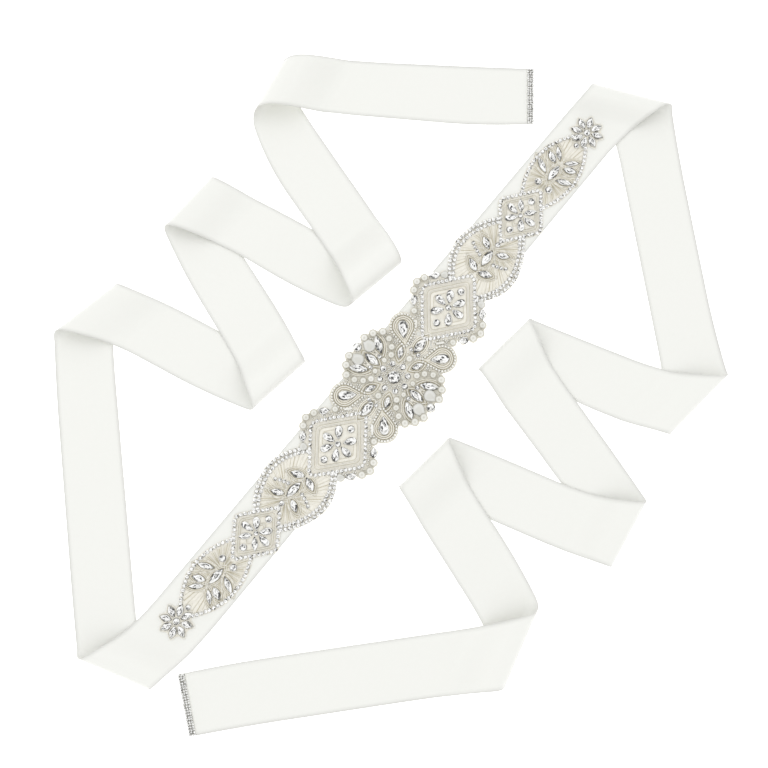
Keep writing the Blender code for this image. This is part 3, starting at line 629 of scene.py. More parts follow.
# %% Outline functions
LOOP_HEAD = np.array([28.8, 16.1])
LOOP_RADIUS = 7.9
LOOP_TAIL = 12.6
LOOP_DIRECTION = 45.0
MEDALLION_BODY = 30.6
DIAMOND_HALF = {"diamond": (26.8, 21.9), "small_diamond": (21.6, 16.8)}
CORNER_ROUNDING = 0.12
CLUSTER_MIDDLE, CLUSTER_RADIUS = 9.0, 15.0
TIP_BUGLE = (21.0, 9.8)         # where a long bugle bead lies beside a diamond's inner tip
BUGLE_ROOM = 5.4                # the radius of ground that it gets
Oval = namedtuple("Oval", "widest half inner outer")
OVAL_STEPS = 40                 # sides of half an oval's outline
OVALS = {"oval": Oval(92.5, 23.2, 33.5, 39.0), "end_oval": Oval(167.0, 16.4, 37.5, 33.5)}
FLOWER_RADIUS, FLOWER_DIP, FLOWER_PETALS = 10.4, 1.4, 8
FLOWER_BEAD, BEAD_ROOM = 10.6, 2.2      # where the lone round lies, and its radius of ground
SCALLOPED_FROM = {"medallion": 26.5, "diamond": 19.5}   # stones farther out get a scallop
RIM = 0.4                       # ground that shows round a rim pearl
LINE_RIM = {"medallion": 1.5, "diamond": 1.3, "small_diamond": 1.4}     # outside an outer line


def inside(polygon, points):
    """Which points lie in a closed polygon, by the crossings of rays along +a."""
    points = np.atleast_2d(points)
    found = np.zeros(len(points), bool)
    for start, end in zip(polygon, np.roll(polygon, -1, axis=0)):
        crossing = (start[1] > points[:, 1]) != (end[1] > points[:, 1])
        slope = (end[0] - start[0]) / (end[1] - start[1] or 1.0)
        found ^= crossing & (start[0] + (points[:, 1] - start[1]) * slope > points[:, 0])
    return found


def circles_outline(middle, body, circles, steps=180):
    outline = []
    for angle in np.arange(steps) * 2 * math.pi / steps:
        ray = np.array([math.cos(angle), math.sin(angle)])
        radius = body(angle)
        for a, b, size in circles:
            along = ray @ (a, b)
            aside = a * a + b * b - along * along
            if along > 0 and aside < size * size:
                radius = max(radius, along + math.sqrt(size * size - aside))
        outline.append(ray * radius + middle)
    return np.array(outline)


def diamond_ring(half, offset, middle):
    """A rounded diamond moved outward by an offset square to its sides."""
    length, width = half
    scale = 1 + offset * math.hypot(length, width) / (length * width)
    corners = np.array([[length, 0], [0, width], [-length, 0], [0, -width]]) * scale
    ring = []
    for before, corner, after in zip(np.roll(corners, 1, 0), corners, np.roll(corners, -1, 0)):
        entry = corner + (before - corner) * CORNER_ROUNDING
        leave = corner + (after - corner) * CORNER_ROUNDING
        ring += [entry * (1 - t) ** 2 + corner * 2 * t * (1 - t) + leave * t * t
                 for t in np.linspace(0, 1, 5)]
    return np.array(ring) + middle


def oval_side(oval, at):
    reach = np.where(at < oval.widest, oval.inner, oval.outer)
    return oval.half * (1 - ((at - oval.widest) / reach) ** 2)


def oval_outline(motif):
    oval = OVALS[motif.name]
    at = np.linspace(oval.widest - oval.inner, oval.widest + oval.outer, OVAL_STEPS + 1)
    upper = np.column_stack([at, oval_side(oval, at)])
    ring = np.vstack([upper, (upper * (1, -1))[1:-1][::-1]])
    return ring * (motif.outward, 1) + (0, motif.middle[1])


def scallops(motif):
    """Circles of ground under the stones along a motif's rim: (a, b, radius), from its middle."""
    circles = [(stone.a - motif.middle[0], stone.b - motif.middle[1], stone.width / 2 + RIM)
               for stone in placed(motif)]
    return [circle for circle in circles if math.hypot(*circle[:2]) > SCALLOPED_FROM[motif.name]]


def medallion_outline(motif):
    loops = [(side_a * LOOP_HEAD[0], side_b * LOOP_HEAD[1], LOOP_RADIUS + LINE_RIM[motif.name])
             for side_a in (-1, 1) for side_b in (-1, 1)]
    rim = [circle for circle in scallops(motif) if abs(circle[1]) > 1]      # not on the axis
    return circles_outline(motif.middle, lambda angle: MEDALLION_BODY, loops + rim)


def diamond_outline(motif):
    length, width = DIAMOND_HALF[motif.name]
    scale = 1 + LINE_RIM[motif.name] * math.hypot(length, width) / (length * width)
    circles = scallops(motif)
    for side in (-1, 1):
        circles += [(0.0, side * CLUSTER_MIDDLE, CLUSTER_RADIUS),
                    (-motif.outward * TIP_BUGLE[0], side * TIP_BUGLE[1], BUGLE_ROOM)]
    return circles_outline(motif.middle, lambda angle: scale / (
        abs(math.cos(angle)) / length + abs(math.sin(angle)) / width), circles)


def small_diamond_outline(motif):
    return diamond_ring(DIAMOND_HALF[motif.name], LINE_RIM[motif.name], motif.middle)


def flower_outline(motif):
    bead = [(-motif.outward * FLOWER_BEAD, 0.0, BEAD_ROOM)]
    return circles_outline(motif.middle, lambda angle: FLOWER_RADIUS - FLOWER_DIP * (
        0.5 + 0.5 * math.cos(FLOWER_PETALS * angle)), bead, 96)


OUTLINE_OF = {"medallion": medallion_outline, "diamond": diamond_outline, "oval": oval_outline,
              "small_diamond": small_diamond_outline, "end_oval": oval_outline,
              "tip_flower": flower_outline}
outlines = {motif: OUTLINE_OF[motif.name](motif) for motif in motifs}
print("widest motif in mm:", round(float(np.ptp(outlines[motifs[0]][:, 1])), 1))

# %% [markdown]
# ## The sheer ground
# The beads are sewn to a stiff sheer fabric, which shows warm beige between them. It is one thin
# layer under each motif; where two motifs meet, one ground lies over the other. It is a flat sheet
# of cloth with a fine open weave.

# %% Cut the ground
GROUND = 0.22           # thickness of the sheer fabric
GROUND_PITCH = 3.0
GROUND_INSET = 0.95     # inner points of its mesh lie within this share of an outline


def grid_over(edge, pitch_a, pitch_b):
    low, high = edge.min(0), edge.max(0)
    return np.stack(np.meshgrid(np.arange(low[0], high[0], pitch_a),
                                np.arange(low[1], high[1], pitch_b)), -1)


def well_inside(motif, points, share):
    """The points inside a motif's outline when that is drawn in to a share of its size."""
    shrunk = (outlines[motif] - motif.middle) * share + motif.middle
    return points[inside(shrunk, points)]


def ground_mesh(name):
    vertices, faces, area = [], [], 0.0
    for motif, edge in outlines.items():
        grid = grid_over(edge, GROUND_PITCH, GROUND_PITCH).reshape(-1, 2)
        points = np.vstack([edge, well_inside(motif, grid, GROUND_INSET)])
        sides = [(i, (i + 1) % len(edge)) for i in range(len(edge))]
        flat, _, cells, _, _, _ = delaunay_2d_cdt([Vector(p) for p in points], sides, [], 0, 1e-6)
        flat = np.array([tuple(p) for p in flat])
        cells = np.array([tuple(cell) for cell in cells])
        cells = cells[inside(edge, flat[cells].mean(axis=1))]
        start, size = sum(len(v) for v in vertices), len(flat)
        vertices += [on_sash(*flat.T, motif.level + GROUND), on_sash(*flat.T, motif.level)]
        directed = {(int(a), int(b)) for cell in cells for a, b in zip(cell, np.roll(cell, -1))}
        rim = [(a, b) for a, b in directed if (b, a) not in directed]
        faces += (cells + start).tolist() + (cells[:, ::-1] + start + size).tolist()
        faces += [(b + start, a + start, a + start + size, b + start + size) for a, b in rim]
        spread = flat[cells]
        first, second = spread[:, 1] - spread[:, 0], spread[:, 2] - spread[:, 0]
        area += float(np.abs(first[:, 0] * second[:, 1] - first[:, 1] * second[:, 0]).sum() / 2)
    mesh = bpy.data.meshes.new(name)
    mesh.from_pydata(np.concatenate(vertices) * MM, [], faces)
    mesh.validate()
    return mesh, area


mesh, ground_area = ground_mesh("sheer_ground")
ground = new_object("sheer_ground", mesh)
print("ground area in square mm:", round(ground_area))

# %% The ground's finish
BEIGE = (0.87, 0.845, 0.76)


def sheer_material():
    material, tree, shader = new_material("sheer_beige", BEIGE, Roughness=0.55, Sheen_Weight=0.3)
    place = add_node(tree, "ShaderNodeTexCoord").outputs["Object"]
    turn = {"Vector": place, "Rotation": (0, 0, math.radians(-AXIS_ANGLE)),
            "Scale": (1 / MM, 1 / MM, 1 / MM)}
    cloth = add_node(tree, "ShaderNodeMapping", turn).outputs["Vector"]
    weave = place_group(tree, weave_group,
                        {"Cloth": cloth, "Across": 1.3, "Along": 1.3, "Float": 1.0})
    tone = ramp(tree, weave["Shade"], [(0.3, (0.83, 0.80, 0.71)), (0.7, (0.905, 0.885, 0.81))])
    tree.links.new(tone, shader.inputs["Base Color"])
    pucker = noise(tree, cloth, 0.5, 2.0)
    bump(tree, shader, [(pucker, 0.6, 0.0006), (weave["Height"], 0.3, 0.0001)])
    return material


ground.data.materials.append(sheer_material())

# %% [markdown]
# ## Three geometry trees
# Everything on the ground repeats: some two hundred stones at charted places, thousands of beads in
# lines, and cords. The first tree puts a shape on each charted point, with its own turn and size.
# The second walks along paths and sets a shape every so often, facing along the path. Both give
# every copy a random number called sparkle, for its material to use. The third lays a round cord.

# %% The trees
SIZES = {"Shape": "NodeSocketObject", "Material": "NodeSocketMaterial", "Size": "NodeSocketFloat",
         "Wobble": "NodeSocketFloat", "Seed": "NodeSocketInt"}


def geometry_tree(name, inputs):
    tree = bpy.data.node_groups.new(name, "GeometryNodeTree")
    tree.is_modifier = True
    for key, kind in {"Geometry": "NodeSocketGeometry", **inputs}.items():
        tree.interface.new_socket(key, in_out="INPUT", socket_type=kind)
    tree.interface.new_socket("Geometry", in_out="OUTPUT", socket_type="NodeSocketGeometry")
    given = tree.nodes.new("NodeGroupInput").outputs
    return tree, given, tree.nodes.new("NodeGroupOutput").inputs


def first_output(tree, kind, inputs, **settings):
    return add_node(tree, kind, inputs, **settings).outputs[0]


def in_use(sockets, name):
    """The socket of that name which a node's settings leave switched on."""
    return next(socket for socket in sockets if socket.enabled and socket.name == name)


def named(tree, name, kind):
    node = add_node(tree, "GeometryNodeInputNamedAttribute", {"Name": name}, data_type=kind)
    return in_use(node.outputs, "Attribute")


def store(tree, geometry, name, value, domain):
    node = add_node(tree, "GeometryNodeStoreNamedAttribute", {"Geometry": geometry, "Name": name},
                    data_type="FLOAT", domain=domain)
    tree.links.new(value, in_use(node.inputs, "Value"))
    return node.outputs[0]


def random_value(tree, given, low, high, kind="FLOAT", seed_step=0.0):
    seed = math_node(tree, "ADD", given["Seed"], seed_step)
    node = add_node(tree, "FunctionNodeRandomValue", {"Seed": seed}, data_type=kind)
    feed(tree, in_use(node.inputs, "Min"), low)
    feed(tree, in_use(node.inputs, "Max"), high)
    return in_use(node.outputs, "Value")


def scaled(tree, vector, factor):
    return first_output(tree, "ShaderNodeVectorMath", {0: vector, "Scale": factor},
                        operation="SCALE")


def dress(tree, given, out, geometry):
    real = first_output(tree, "GeometryNodeRealizeInstances", {"Geometry": geometry})
    dressed = first_output(tree, "GeometryNodeSetMaterial",
                           {"Geometry": real, "Material": given["Material"]})
    tree.links.new(dressed, out["Geometry"])


def copies_on(tree, given, out, points, rotation):
    """Copies of the shape on points, each with its sparkle, made real and given its material."""
    shape = add_node(tree, "GeometryNodeObjectInfo", {"Object": given["Shape"]}).outputs["Geometry"]
    wobble = scaled(tree, (1.0, 1.0, 0.0), given["Wobble"])
    tilt = random_value(tree, given, scaled(tree, wobble, -1.0), wobble, "FLOAT_VECTOR", 1.0)
    tilt = first_output(tree, "FunctionNodeEulerToRotation", {0: tilt})
    rotation = first_output(tree, "FunctionNodeRotateRotation", {0: rotation, 1: tilt},
                            rotation_space="LOCAL")
    size = scaled(tree, named(tree, "size", "FLOAT_VECTOR"), given["Size"])
    copies = first_output(tree, "GeometryNodeInstanceOnPoints", {
        "Points": points, "Instance": shape, "Rotation": rotation, "Scale": size})
    sparkle = random_value(tree, given, 0.0, 1.0)
    dress(tree, given, out, store(tree, copies, "sparkle", sparkle, "INSTANCE"))


def points_tree():
    tree, given, out = geometry_tree("stones_on_points", SIZES)
    turn = first_output(tree, "FunctionNodeEulerToRotation",
                        {0: named(tree, "turn", "FLOAT_VECTOR")})
    copies_on(tree, given, out, given["Geometry"], turn)
    return tree


def paths_tree():
    tree, given, out = geometry_tree("beads_along_paths", SIZES)
    curve = first_output(tree, "GeometryNodeMeshToCurve", {"Mesh": given["Geometry"]})
    even = first_output(tree, "GeometryNodeResampleCurve",
                        {"Curve": curve, "Count": named(tree, "beads", "INT")})
    tangent = first_output(tree, "GeometryNodeInputTangent", {})
    facing = first_output(tree, "FunctionNodeAlignRotationToVector", {"Vector": tangent},
                          axis="X", pivot_axis="Z")
    copies_on(tree, given, out, even, facing)
    return tree


def cord_tree():
    """A round cord along each path, with its length stored, so that its material can coil it."""
    tree, given, out = geometry_tree("cord_along_paths", {"Material": "NodeSocketMaterial",
                                                          "Step": "NodeSocketFloat"})
    curve = first_output(tree, "GeometryNodeMeshToCurve", {"Mesh": given["Geometry"]})
    even = first_output(tree, "GeometryNodeResampleCurve",
                        {"Curve": curve, "Length": given["Step"]}, mode="LENGTH")
    length = add_node(tree, "GeometryNodeSplineParameter").outputs["Length"]
    stored = store(tree, even, "along", length, "POINT")
    profile = first_output(tree, "GeometryNodeCurvePrimitiveCircle",
                           {"Resolution": 6, "Radius": 1.0})
    skin = first_output(tree, "GeometryNodeCurveToMesh",
                        {"Curve": stored, "Profile Curve": profile, "Fill Caps": True,
                         "Scale": named(tree, "thickness", "FLOAT")})
    dress(tree, given, out, skin)
    return tree


on_points, along_paths, as_cord = points_tree(), paths_tree(), cord_tree()
print("geometry trees:", on_points.name, along_paths.name, as_cord.name)

# %% [markdown]
# A tree runs as a modifier on a helper mesh: loose points for the first, chains of edges for the
# others. Turns, sizes, bead counts and thicknesses are attributes of the helper. The result is
# taken as a plain mesh, and both the helper and the shape are thrown away.

# %% Run a tree
CORD_STEP = 0.7         # from one ring of a cord's mesh to the next


def helper_mesh(name, points, edges, attributes):
    mesh = bpy.data.meshes.new(name)
    mesh.from_pydata(np.asarray(points) * MM, edges, [])
    for key, (kind, values) in attributes.items():
        field = "vector" if kind == "FLOAT_VECTOR" else "value"
        mesh.attributes.new(key, kind, "POINT").data.foreach_set(field, np.ravel(values))
    return mesh


def path_mesh(name, paths, kinds):
    """paths: (points in mm, closed, value, ...); kinds: the values' attributes, name -> type."""
    points, edges = [], []
    columns = {key: (kind, []) for key, kind in kinds.items()}
    for path, closed, *values in paths:
        start, count = len(points), len(path)
        edges += [(start + i, start + i + 1) for i in range(count - 1)]
        edges += [(start + count - 1, start)] if closed else []
        points.extend(path)
        for (_, column), value in zip(columns.values(), values):
            column.extend([value] * count)
    return helper_mesh(name, points, edges, columns)


def run_tree(name, tree, mesh, **values):
    """values are the tree's named inputs; a mesh is put in an object first."""
    helper = new_object(name, mesh)
    shape = values.get("Shape")
    if shape:
        values["Shape"] = new_object(name + "_shape", shape)
    modifier = helper.modifiers.new(tree.name, "NODES")
    modifier.node_group = tree
    for item in tree.interface.items_tree:
        if item.in_out == "INPUT" and item.name in values:
            modifier[item.identifier] = values[item.name]
    made = plain_mesh(helper)
    if shape:
        bpy.data.objects.remove(values["Shape"])
    print(name, "faces:", len(made.data.polygons))
    return made


def set_stones(name, rows, shape, material, wobble=0.0, seed=0):
    """rows: (point in mm, (x, y, z) size in mm, turn about z in radians)."""
    points, sizes, turns = zip(*rows)
    mesh = helper_mesh(name, points, [], {
        "turn": ("FLOAT_VECTOR", np.array([(0.0, 0.0, turn) for turn in turns])),
        "size": ("FLOAT_VECTOR", np.array(sizes) * MM)})
    return run_tree(name, on_points, mesh, Shape=shape, Material=material, Wobble=wobble,
                    Seed=seed, Size=1.0)


def lay_cords(name, paths, material):
    """paths: (points in mm, closed, radius in mm)."""
    sized = [(path, closed, radius * MM) for path, closed, radius in paths]
    mesh = path_mesh(name, sized, {"thickness": "FLOAT"})
    cord = run_tree(name, as_cord, mesh, Material=material, Step=CORD_STEP * MM)
    cord.data.shade_smooth()
    return cord


def string_beads(name, paths, shape, material, wobble=0.0, seed=0):
    """paths: (points in mm, closed, pitch in mm, (x, y, z) size in mm)."""
    counted = []
    for path, closed, pitch, size in paths:
        looped = np.vstack([path, path[:1]]) if closed else path
        length = float(np.linalg.norm(np.diff(looped, axis=0), axis=1).sum())
        count = max(2, round(length / pitch) + (0 if closed else 1))
        counted.append((path, closed, count, np.array(size) * MM))
    mesh = path_mesh(name, counted, {"beads": "INT", "size": "FLOAT_VECTOR"})
    return run_tree(name, along_paths, mesh, Shape=shape, Material=material, Wobble=wobble,
                    Seed=seed, Size=1.0)


# %% [markdown]
# ## Shapes of the stones
# A shape is one unit long, wide and high, and is stretched to each stone's size. A crystal has a
# girdle, a crown of slanting facets, and a table. Its pavilion, seen through the table, is drawn as
# a star of facets. Each facet stores a tone from 0 to 1, which its material turns to light or dark.

# %% Shape functions
CRYSTAL_SIDES, CLAWS = 12, 4
CRYSTAL_RINGS = {0.94: 0.0, 1.0: 0.60, 0.80: 0.80, 0.54: 0.97, 0.28: 1.0}   # size -> height
DROP_TAPER, DROP_FULLNESS = 0.7, 1.13
OPAL_TAPER = 0.3
BALL_TOP, DOME_TOP = 0.86, 0.84     # share of a quarter turn that their rings reach


def unit_ring(kind, count):
    """Points round a shape one unit long: a circle, or one of the kinds of stone."""
    angle = np.arange(count) * 2 * math.pi / count
    along, across = np.cos(angle), np.sin(angle)
    if kind == "navette":
        across = np.sign(across) * (1 - along ** 2)
    if kind == "drop":
        across = across * np.abs(np.sin(angle / 2)) ** DROP_TAPER * DROP_FULLNESS
    if kind == "opal":
        across = across * (1 - OPAL_TAPER * along)
    return np.column_stack([along, across]) / 2


def facet_tones(count, patches, seed):
    """A tone for each facet: neighbours in the same patch of a level share one."""
    rng = np.random.default_rng(seed)
    tones = []
    for facets in count:
        patch = rng.permutation(np.linspace(0.0, 1.0, patches, endpoint=False)) + rng.uniform(0, 1)
        tones += [patch[facet * patches // facets] % 1.0 for facet in range(facets)]
    return tones


def stacked(rings, heights):
    """The points of rings at their heights: one for a whole ring, or one for each point."""
    return [(*xy, z) for ring, level in zip(rings, heights)
            for xy, z in zip(ring, np.broadcast_to(level, len(ring)))]


def band(low, high, count):
    """Quads from one ring to another, by the rings' numbers."""
    return [(low * count + i, low * count + (i + 1) % count,
             high * count + (i + 1) % count, high * count + i) for i in range(count)]


def shape_mesh(name, points, faces, tones=None, smooth=False):
    mesh = bpy.data.meshes.new(name)
    mesh.from_pydata(points, [], faces)
    if tones is not None:
        mesh.attributes.new("tone", "FLOAT", "FACE").data.foreach_set("value", tones)
    if smooth:
        mesh.shade_smooth()
    return mesh


def shape_from_rings(name, rings, heights, halved=(), tone_seed=None, smooth=False, patches=6):
    """Joins rings from the lowest up and fans the last one to a point in its middle. The bands
    whose numbers are in halved are cut into triangles, like a crystal's crown."""
    count, bands = len(rings[0]), range(len(rings) - 1)
    faces = []
    for level in bands:
        for i, (a, b, c, d) in enumerate(band(level, level + 1, count)):
            if level not in halved:
                faces.append((a, b, c, d))
            elif i % 2:
                faces += [(a, b, d), (b, c, d)]
            else:
                faces += [(a, b, c), (a, c, d)]
    tip = heights[-1] + (heights[-1] - heights[-2]) * 0.15 if smooth else heights[-1] * 0.97
    points = stacked(rings, heights) + [(*rings[-1].mean(axis=0), tip)]
    top = len(bands) * count
    faces += [(top + i, top + (i + 1) % count, len(points) - 1) for i in range(count)]
    faces.append(tuple(range(count))[::-1])
    tones = None
    if tone_seed is not None:
        levels = [count * (2 if level in halved else 1) for level in bands]
        tones = facet_tones(levels + [count], patches, tone_seed) + [0.5]
    return shape_mesh(name, points, faces, tones, smooth)


def crystal_shape(kind, patches, seed):
    ring = unit_ring(kind, CRYSTAL_SIDES)
    centre = ring.mean(axis=0)
    rings = [centre + (ring - centre) * size for size in CRYSTAL_RINGS]
    return shape_from_rings(kind + "_crystal", rings, list(CRYSTAL_RINGS.values()), (1, 2), seed,
                            patches=patches)


def cup_shape(name, rings, heights, tones=None):
    """A thin wall: four rings, up its outside and down its inside."""
    count = len(rings[0])
    faces = [face for level in range(4) for face in band(level, (level + 1) % 4, count)]
    return shape_mesh(name, stacked(rings, heights), faces, tones)


def setting_shape(kind):
    """A thin cup round a stone. Its rim is drawn in over the girdle at four claws, with tone 0, which its
    material turns to painted shade.
    """
    ring = unit_ring(kind, CRYSTAL_SIDES)
    claw = np.where(np.arange(CRYSTAL_SIDES) % (CRYSTAL_SIDES // CLAWS) == 0, 1.0, 0.0)
    rings = [ring * 1.02, ring * 1.07, ring * (1.05 - 0.13 * claw)[:, None], ring * 0.97]
    tones = [1.0 - max(claw[i], claw[(i + 1) % CRYSTAL_SIDES]) * (level > 0)
             for level in range(4) for i in range(CRYSTAL_SIDES)]
    return cup_shape(kind + "_setting", rings, (0.0, 0.30, 0.44 + 0.26 * claw, 0.30), tones)


def chain_stone_shape():
    ring = unit_ring("round", 8)
    rings = [ring * 0.8, ring, ring * 0.58]
    return shape_from_rings("chain_stone", rings, (0.15, 0.62, 1.0), (1,), 5)


def chain_cup_shape():
    ring = unit_ring("round", 8)
    rings = [ring * 0.98, ring * 1.05, ring * 1.03, ring * 0.95]
    return cup_shape("chain_cup", rings, (0.0, 0.45, 0.60, 0.45))


def ball_shape(name, sides, levels, low):
    """A ball of unit diameter standing at z = 0, cut level at low, where it is sewn down."""
    rises = np.linspace(math.asin(2 * low), math.pi / 2 * BALL_TOP, levels)
    ring = unit_ring("round", sides)
    rings = [ring * math.cos(rise) for rise in rises]
    heights = [0.5 * math.sin(rise) - low for rise in rises]
    mesh = shape_from_rings(name, rings, heights, smooth=True)
    mesh.vertices[len(mesh.vertices) - 1].co.z = 0.5 - low
    return mesh


def dome_shape(kind):
    ring = unit_ring(kind, 16)
    rises = np.linspace(0.0, math.pi / 2 * DOME_TOP, 6)
    rings = [ring] + [ring * math.cos(rise) for rise in rises]
    heights = [0.0] + [0.25 + 0.75 * math.sin(rise) for rise in rises]
    return shape_from_rings(kind + "_dome", rings, heights, smooth=True)


def tube_shape(name, sides):
    """A bead one unit long along x with rounded ends, one unit thick, its axis half a unit up."""
    stations = ((-0.5, 0.55), (-0.42, 1.0), (0.42, 1.0), (0.5, 0.55))
    angle = np.arange(sides) * 2 * math.pi / sides + math.pi / sides
    points = [(x, 0.5 * r * math.cos(t), 0.5 + 0.5 * r * math.sin(t))
              for x, r in stations for t in angle]
    faces = [face for station in range(3) for face in band(station, station + 1, sides)]
    faces += [tuple(range(sides))[::-1], tuple(3 * sides + i for i in range(sides))]
    return shape_mesh(name, points, [face[::-1] for face in faces], smooth=True)


print("chain stone faces:", len(chain_stone_shape().polygons))

# %% [markdown]
# ## Glass, pearl and metal
# The crystals are glass with a foil back: light leaves them through some facets and not others, so
# side by side they look white, grey and nearly black, whatever stands round them. Those reflections
# are painted: the material turns each facet's tone, shifted by the stone's own sparkle, into one of
# those greys in its base colour.

# %% The facet group
def build_facets():
    tree, given, out = shader_group("facet_glitter", {"Tone": 0.5, "Sparkle": 0.5, "Lift": 0.0},
                                    {"Color": "NodeSocketColor"})
    # painted reflections: each facet's colour stands for the light its foil sends back, white, grey or nearly
    # black
    mixed = math_node(tree, "FRACT", math_node(tree, "ADD", given["Tone"], given["Sparkle"]))
    colour = ramp(tree, math_node(tree, "ADD", mixed, given["Lift"]), [
        (0.0, (0.05, 0.05, 0.05)), (0.09, (0.26, 0.26, 0.25)), (0.18, (0.56, 0.56, 0.54)),
        (0.32, (0.80, 0.80, 0.78)), (0.50, (0.98, 0.98, 0.97))], "CONSTANT")
    tree.links.new(colour, out["Color"])
    return tree


facet_group = build_facets()
def crystal_material(name, lift):
    """The lower the lift, the more of the facets are dark."""
    material, tree, shader = new_material(name, (0.85, 0.85, 0.84), Roughness=0.10, Metallic=0.45,
                                          Coat_Weight=1.0, Coat_Roughness=0.03)
    # the facets' painted reflections go into the base colour
    facets = {"Tone": read_value(tree, "tone"), "Sparkle": read_value(tree, "sparkle"),
              "Lift": lift}
    colour = place_group(tree, facet_group, facets)["Color"]
    tree.links.new(colour, shader.inputs["Base Color"])
    return material


WHITE = (1.0, 1.0, 1.0)


def bead_material(name, light, shade, rim, **values):
    """A finish that runs from a light to a shade by each bead's sparkle. By the facing angle it gets a light
    ring near its middle, a painted highlight, and a darker band towards its rim, a painted shade.
    """
    material, tree, shader = new_material(name, light, **values)
    tone = ramp(tree, read_value(tree, "sparkle"), [(0.0, shade), (1.0, light)])
    # painted highlight and shade by the facing angle: a light ring near the middle, darker towards the rim
    facing = add_node(tree, "ShaderNodeLayerWeight", {"Blend": 0.5}).outputs["Facing"]
    inner = tuple(0.5 + 0.5 * value for value in rim)
    rings = ramp(tree, facing, [(0.02, inner), (0.07, WHITE), (0.16, WHITE), (0.42, rim),
                                (0.62, rim), (0.85, inner)])
    tree.links.new(mix_colour(tree, 1.0, tone, rings, "MULTIPLY"), shader.inputs["Base Color"])
    return material


crystal = crystal_material("foil_crystal", -0.09)
dark_crystal = crystal_material("dark_foil_crystal", -0.16)
chain_crystal = crystal_material("chain_crystal", 0.05)
pearl = bead_material("ivory_pearl", (0.86, 0.855, 0.81), (0.78, 0.775, 0.72), (0.62, 0.60, 0.54),
                      Roughness=0.3, Coat_Weight=0.2, Coat_Roughness=0.15)
opal = bead_material("milky_opal", (0.76, 0.76, 0.73), (0.70, 0.70, 0.665), (0.80, 0.79, 0.74),
                     Roughness=0.3, Coat_Weight=0.5, Coat_Roughness=0.1)
silver_bead = bead_material("silver_lined_bead", (0.98, 0.98, 0.96), (0.86, 0.85, 0.80),
                            (0.71, 0.695, 0.64), Roughness=0.25, Metallic=0.2, Coat_Weight=0.6)


def silver_material():
    """Thin silver, light where it lies open; at the claws its colour is darkened, a painted shade."""
    material, tree, shader = new_material("silver_setting", (0.85, 0.84, 0.80), Roughness=0.45,
                                          Metallic=0.15)
    # painted shade at the claws: tone 0 gives a dark silver
    tone = ramp(tree, read_value(tree, "tone"),
                [(0.0, (0.30, 0.29, 0.26)), (1.0, (0.86, 0.85, 0.80))])
    tree.links.new(tone, shader.inputs["Base Color"])
    return material


silver = silver_material()
cup_silver = new_material("silver_cup", (0.84, 0.83, 0.79), Roughness=0.45, Metallic=0.15)[0]
COIL = 0.35 * MM        # from turn to turn of the coiled wire


def bullion_material(name, light, dark):
    """A cord of tightly coiled wire, with a bump at every turn of the coil. Its colour is painted light on
    each turn and painted shade in the grooves between turns.
    """
    material, tree, shader = new_material(name, light, Roughness=0.42, Metallic=0.15,
                                          Coat_Weight=0.2)
    turns = math_node(tree, "MULTIPLY", read_value(tree, "along"), math.tau / COIL)
    coil = math_node(tree, "MULTIPLY_ADD", math_node(tree, "SINE", turns), 0.5)
    coil.node.inputs[2].default_value = 0.5
    # painted highlight on each turn of the coil and painted shade in the grooves between
    tree.links.new(ramp(tree, coil, [(0.0, dark), (1.0, light)]), shader.inputs["Base Color"])
    bump(tree, shader, [(coil, 0.5, 0.00008)])
    return material


bullion = bullion_material("champagne_bullion", (0.97, 0.955, 0.90), (0.86, 0.83, 0.74))
gold = bullion_material("gold_wire", (0.70, 0.65, 0.49), (0.46, 0.42, 0.29))
pale_wire = bullion_material("pale_wire", (0.78, 0.75, 0.64), (0.62, 0.59, 0.48))
print("finishes:", len(bpy.data.materials))

# %% [markdown]
# ## Set the stones
# Each kind of stone is one piece: all navettes, all drops and so on, because they share a shape and
# a finish. The crystals sit in thin silver settings, sewn down through the ground.

# %% Place the stones of each kind
LIFT = GROUND + 0.15    # a stone's foot above its ground's underside
HEIGHTS = {"navette": 0.46, "drop": 0.42, "round": 0.5, "centre": 0.4,
           "pearl": 0.84, "opal": 0.36}     # for a width of 1
CUTS = {"navette": (8, 3), "drop": (8, 9), "round": (6, 14), "centre": (16, 17)}
# a cut's first number is into how many patches of one tone its facets fall, its second a seed
CRYSTAL_WOBBLE = 0.12   # how far out of level a crystal is set, in radians


def turn_on_sash(turn):
    return math.radians(AXIS_ANGLE + turn)


def stone_rows(kind):
    return [(on_sash(stone.a, stone.b, stone.motif.level + LIFT)[0],
             (stone.length, stone.width, HEIGHTS[kind] * stone.width), turn_on_sash(stone.turn))
            for stone in stones if stone.kind == kind]


made = {}
for kind, (patches, seed) in CUTS.items():
    rows = stone_rows(kind)
    glass = dark_crystal if kind == "centre" else crystal
    made[kind] = set_stones(kind + "_crystals", rows, crystal_shape(kind, patches, seed), glass,
                            CRYSTAL_WOBBLE, seed)
    made[kind + "_setting"] = set_stones(kind + "_settings", rows, setting_shape(kind), silver)
made["pearl"] = set_stones("pearls", stone_rows("pearl"), ball_shape("pearl", 14, 8, -0.42),
                           pearl, 0.0, 4)
made["opal"] = set_stones("opal_stones", stone_rows("opal"), dome_shape("opal"), opal, 0.05, 6)

# %% [markdown]
# ## Paths for chains and cords
# Cup chain runs round the diamonds and ovals, and rows of beads round the medallion's loops. Inside
# them lie bullion, a cord of coiled wire, and finer wires. They follow the outlines, ring the
# pointed stones, or spread from one point in each oval. A path is drawn in a and b, broken wherever
# it would run into a stone or under another motif, and then laid on the sash.

# %% Path helpers
PATH_STEP = 0.4         # from point to point of a path
LEAST_RUN = 3.2         # shorter runs are left out
STONE_REACH = 3.0       # paths that pass farther off than this can't touch a stone
TIP_GROWTH, OTHER_GROWTH = 2.2, 1.3     # how much faster a shape grows along than across


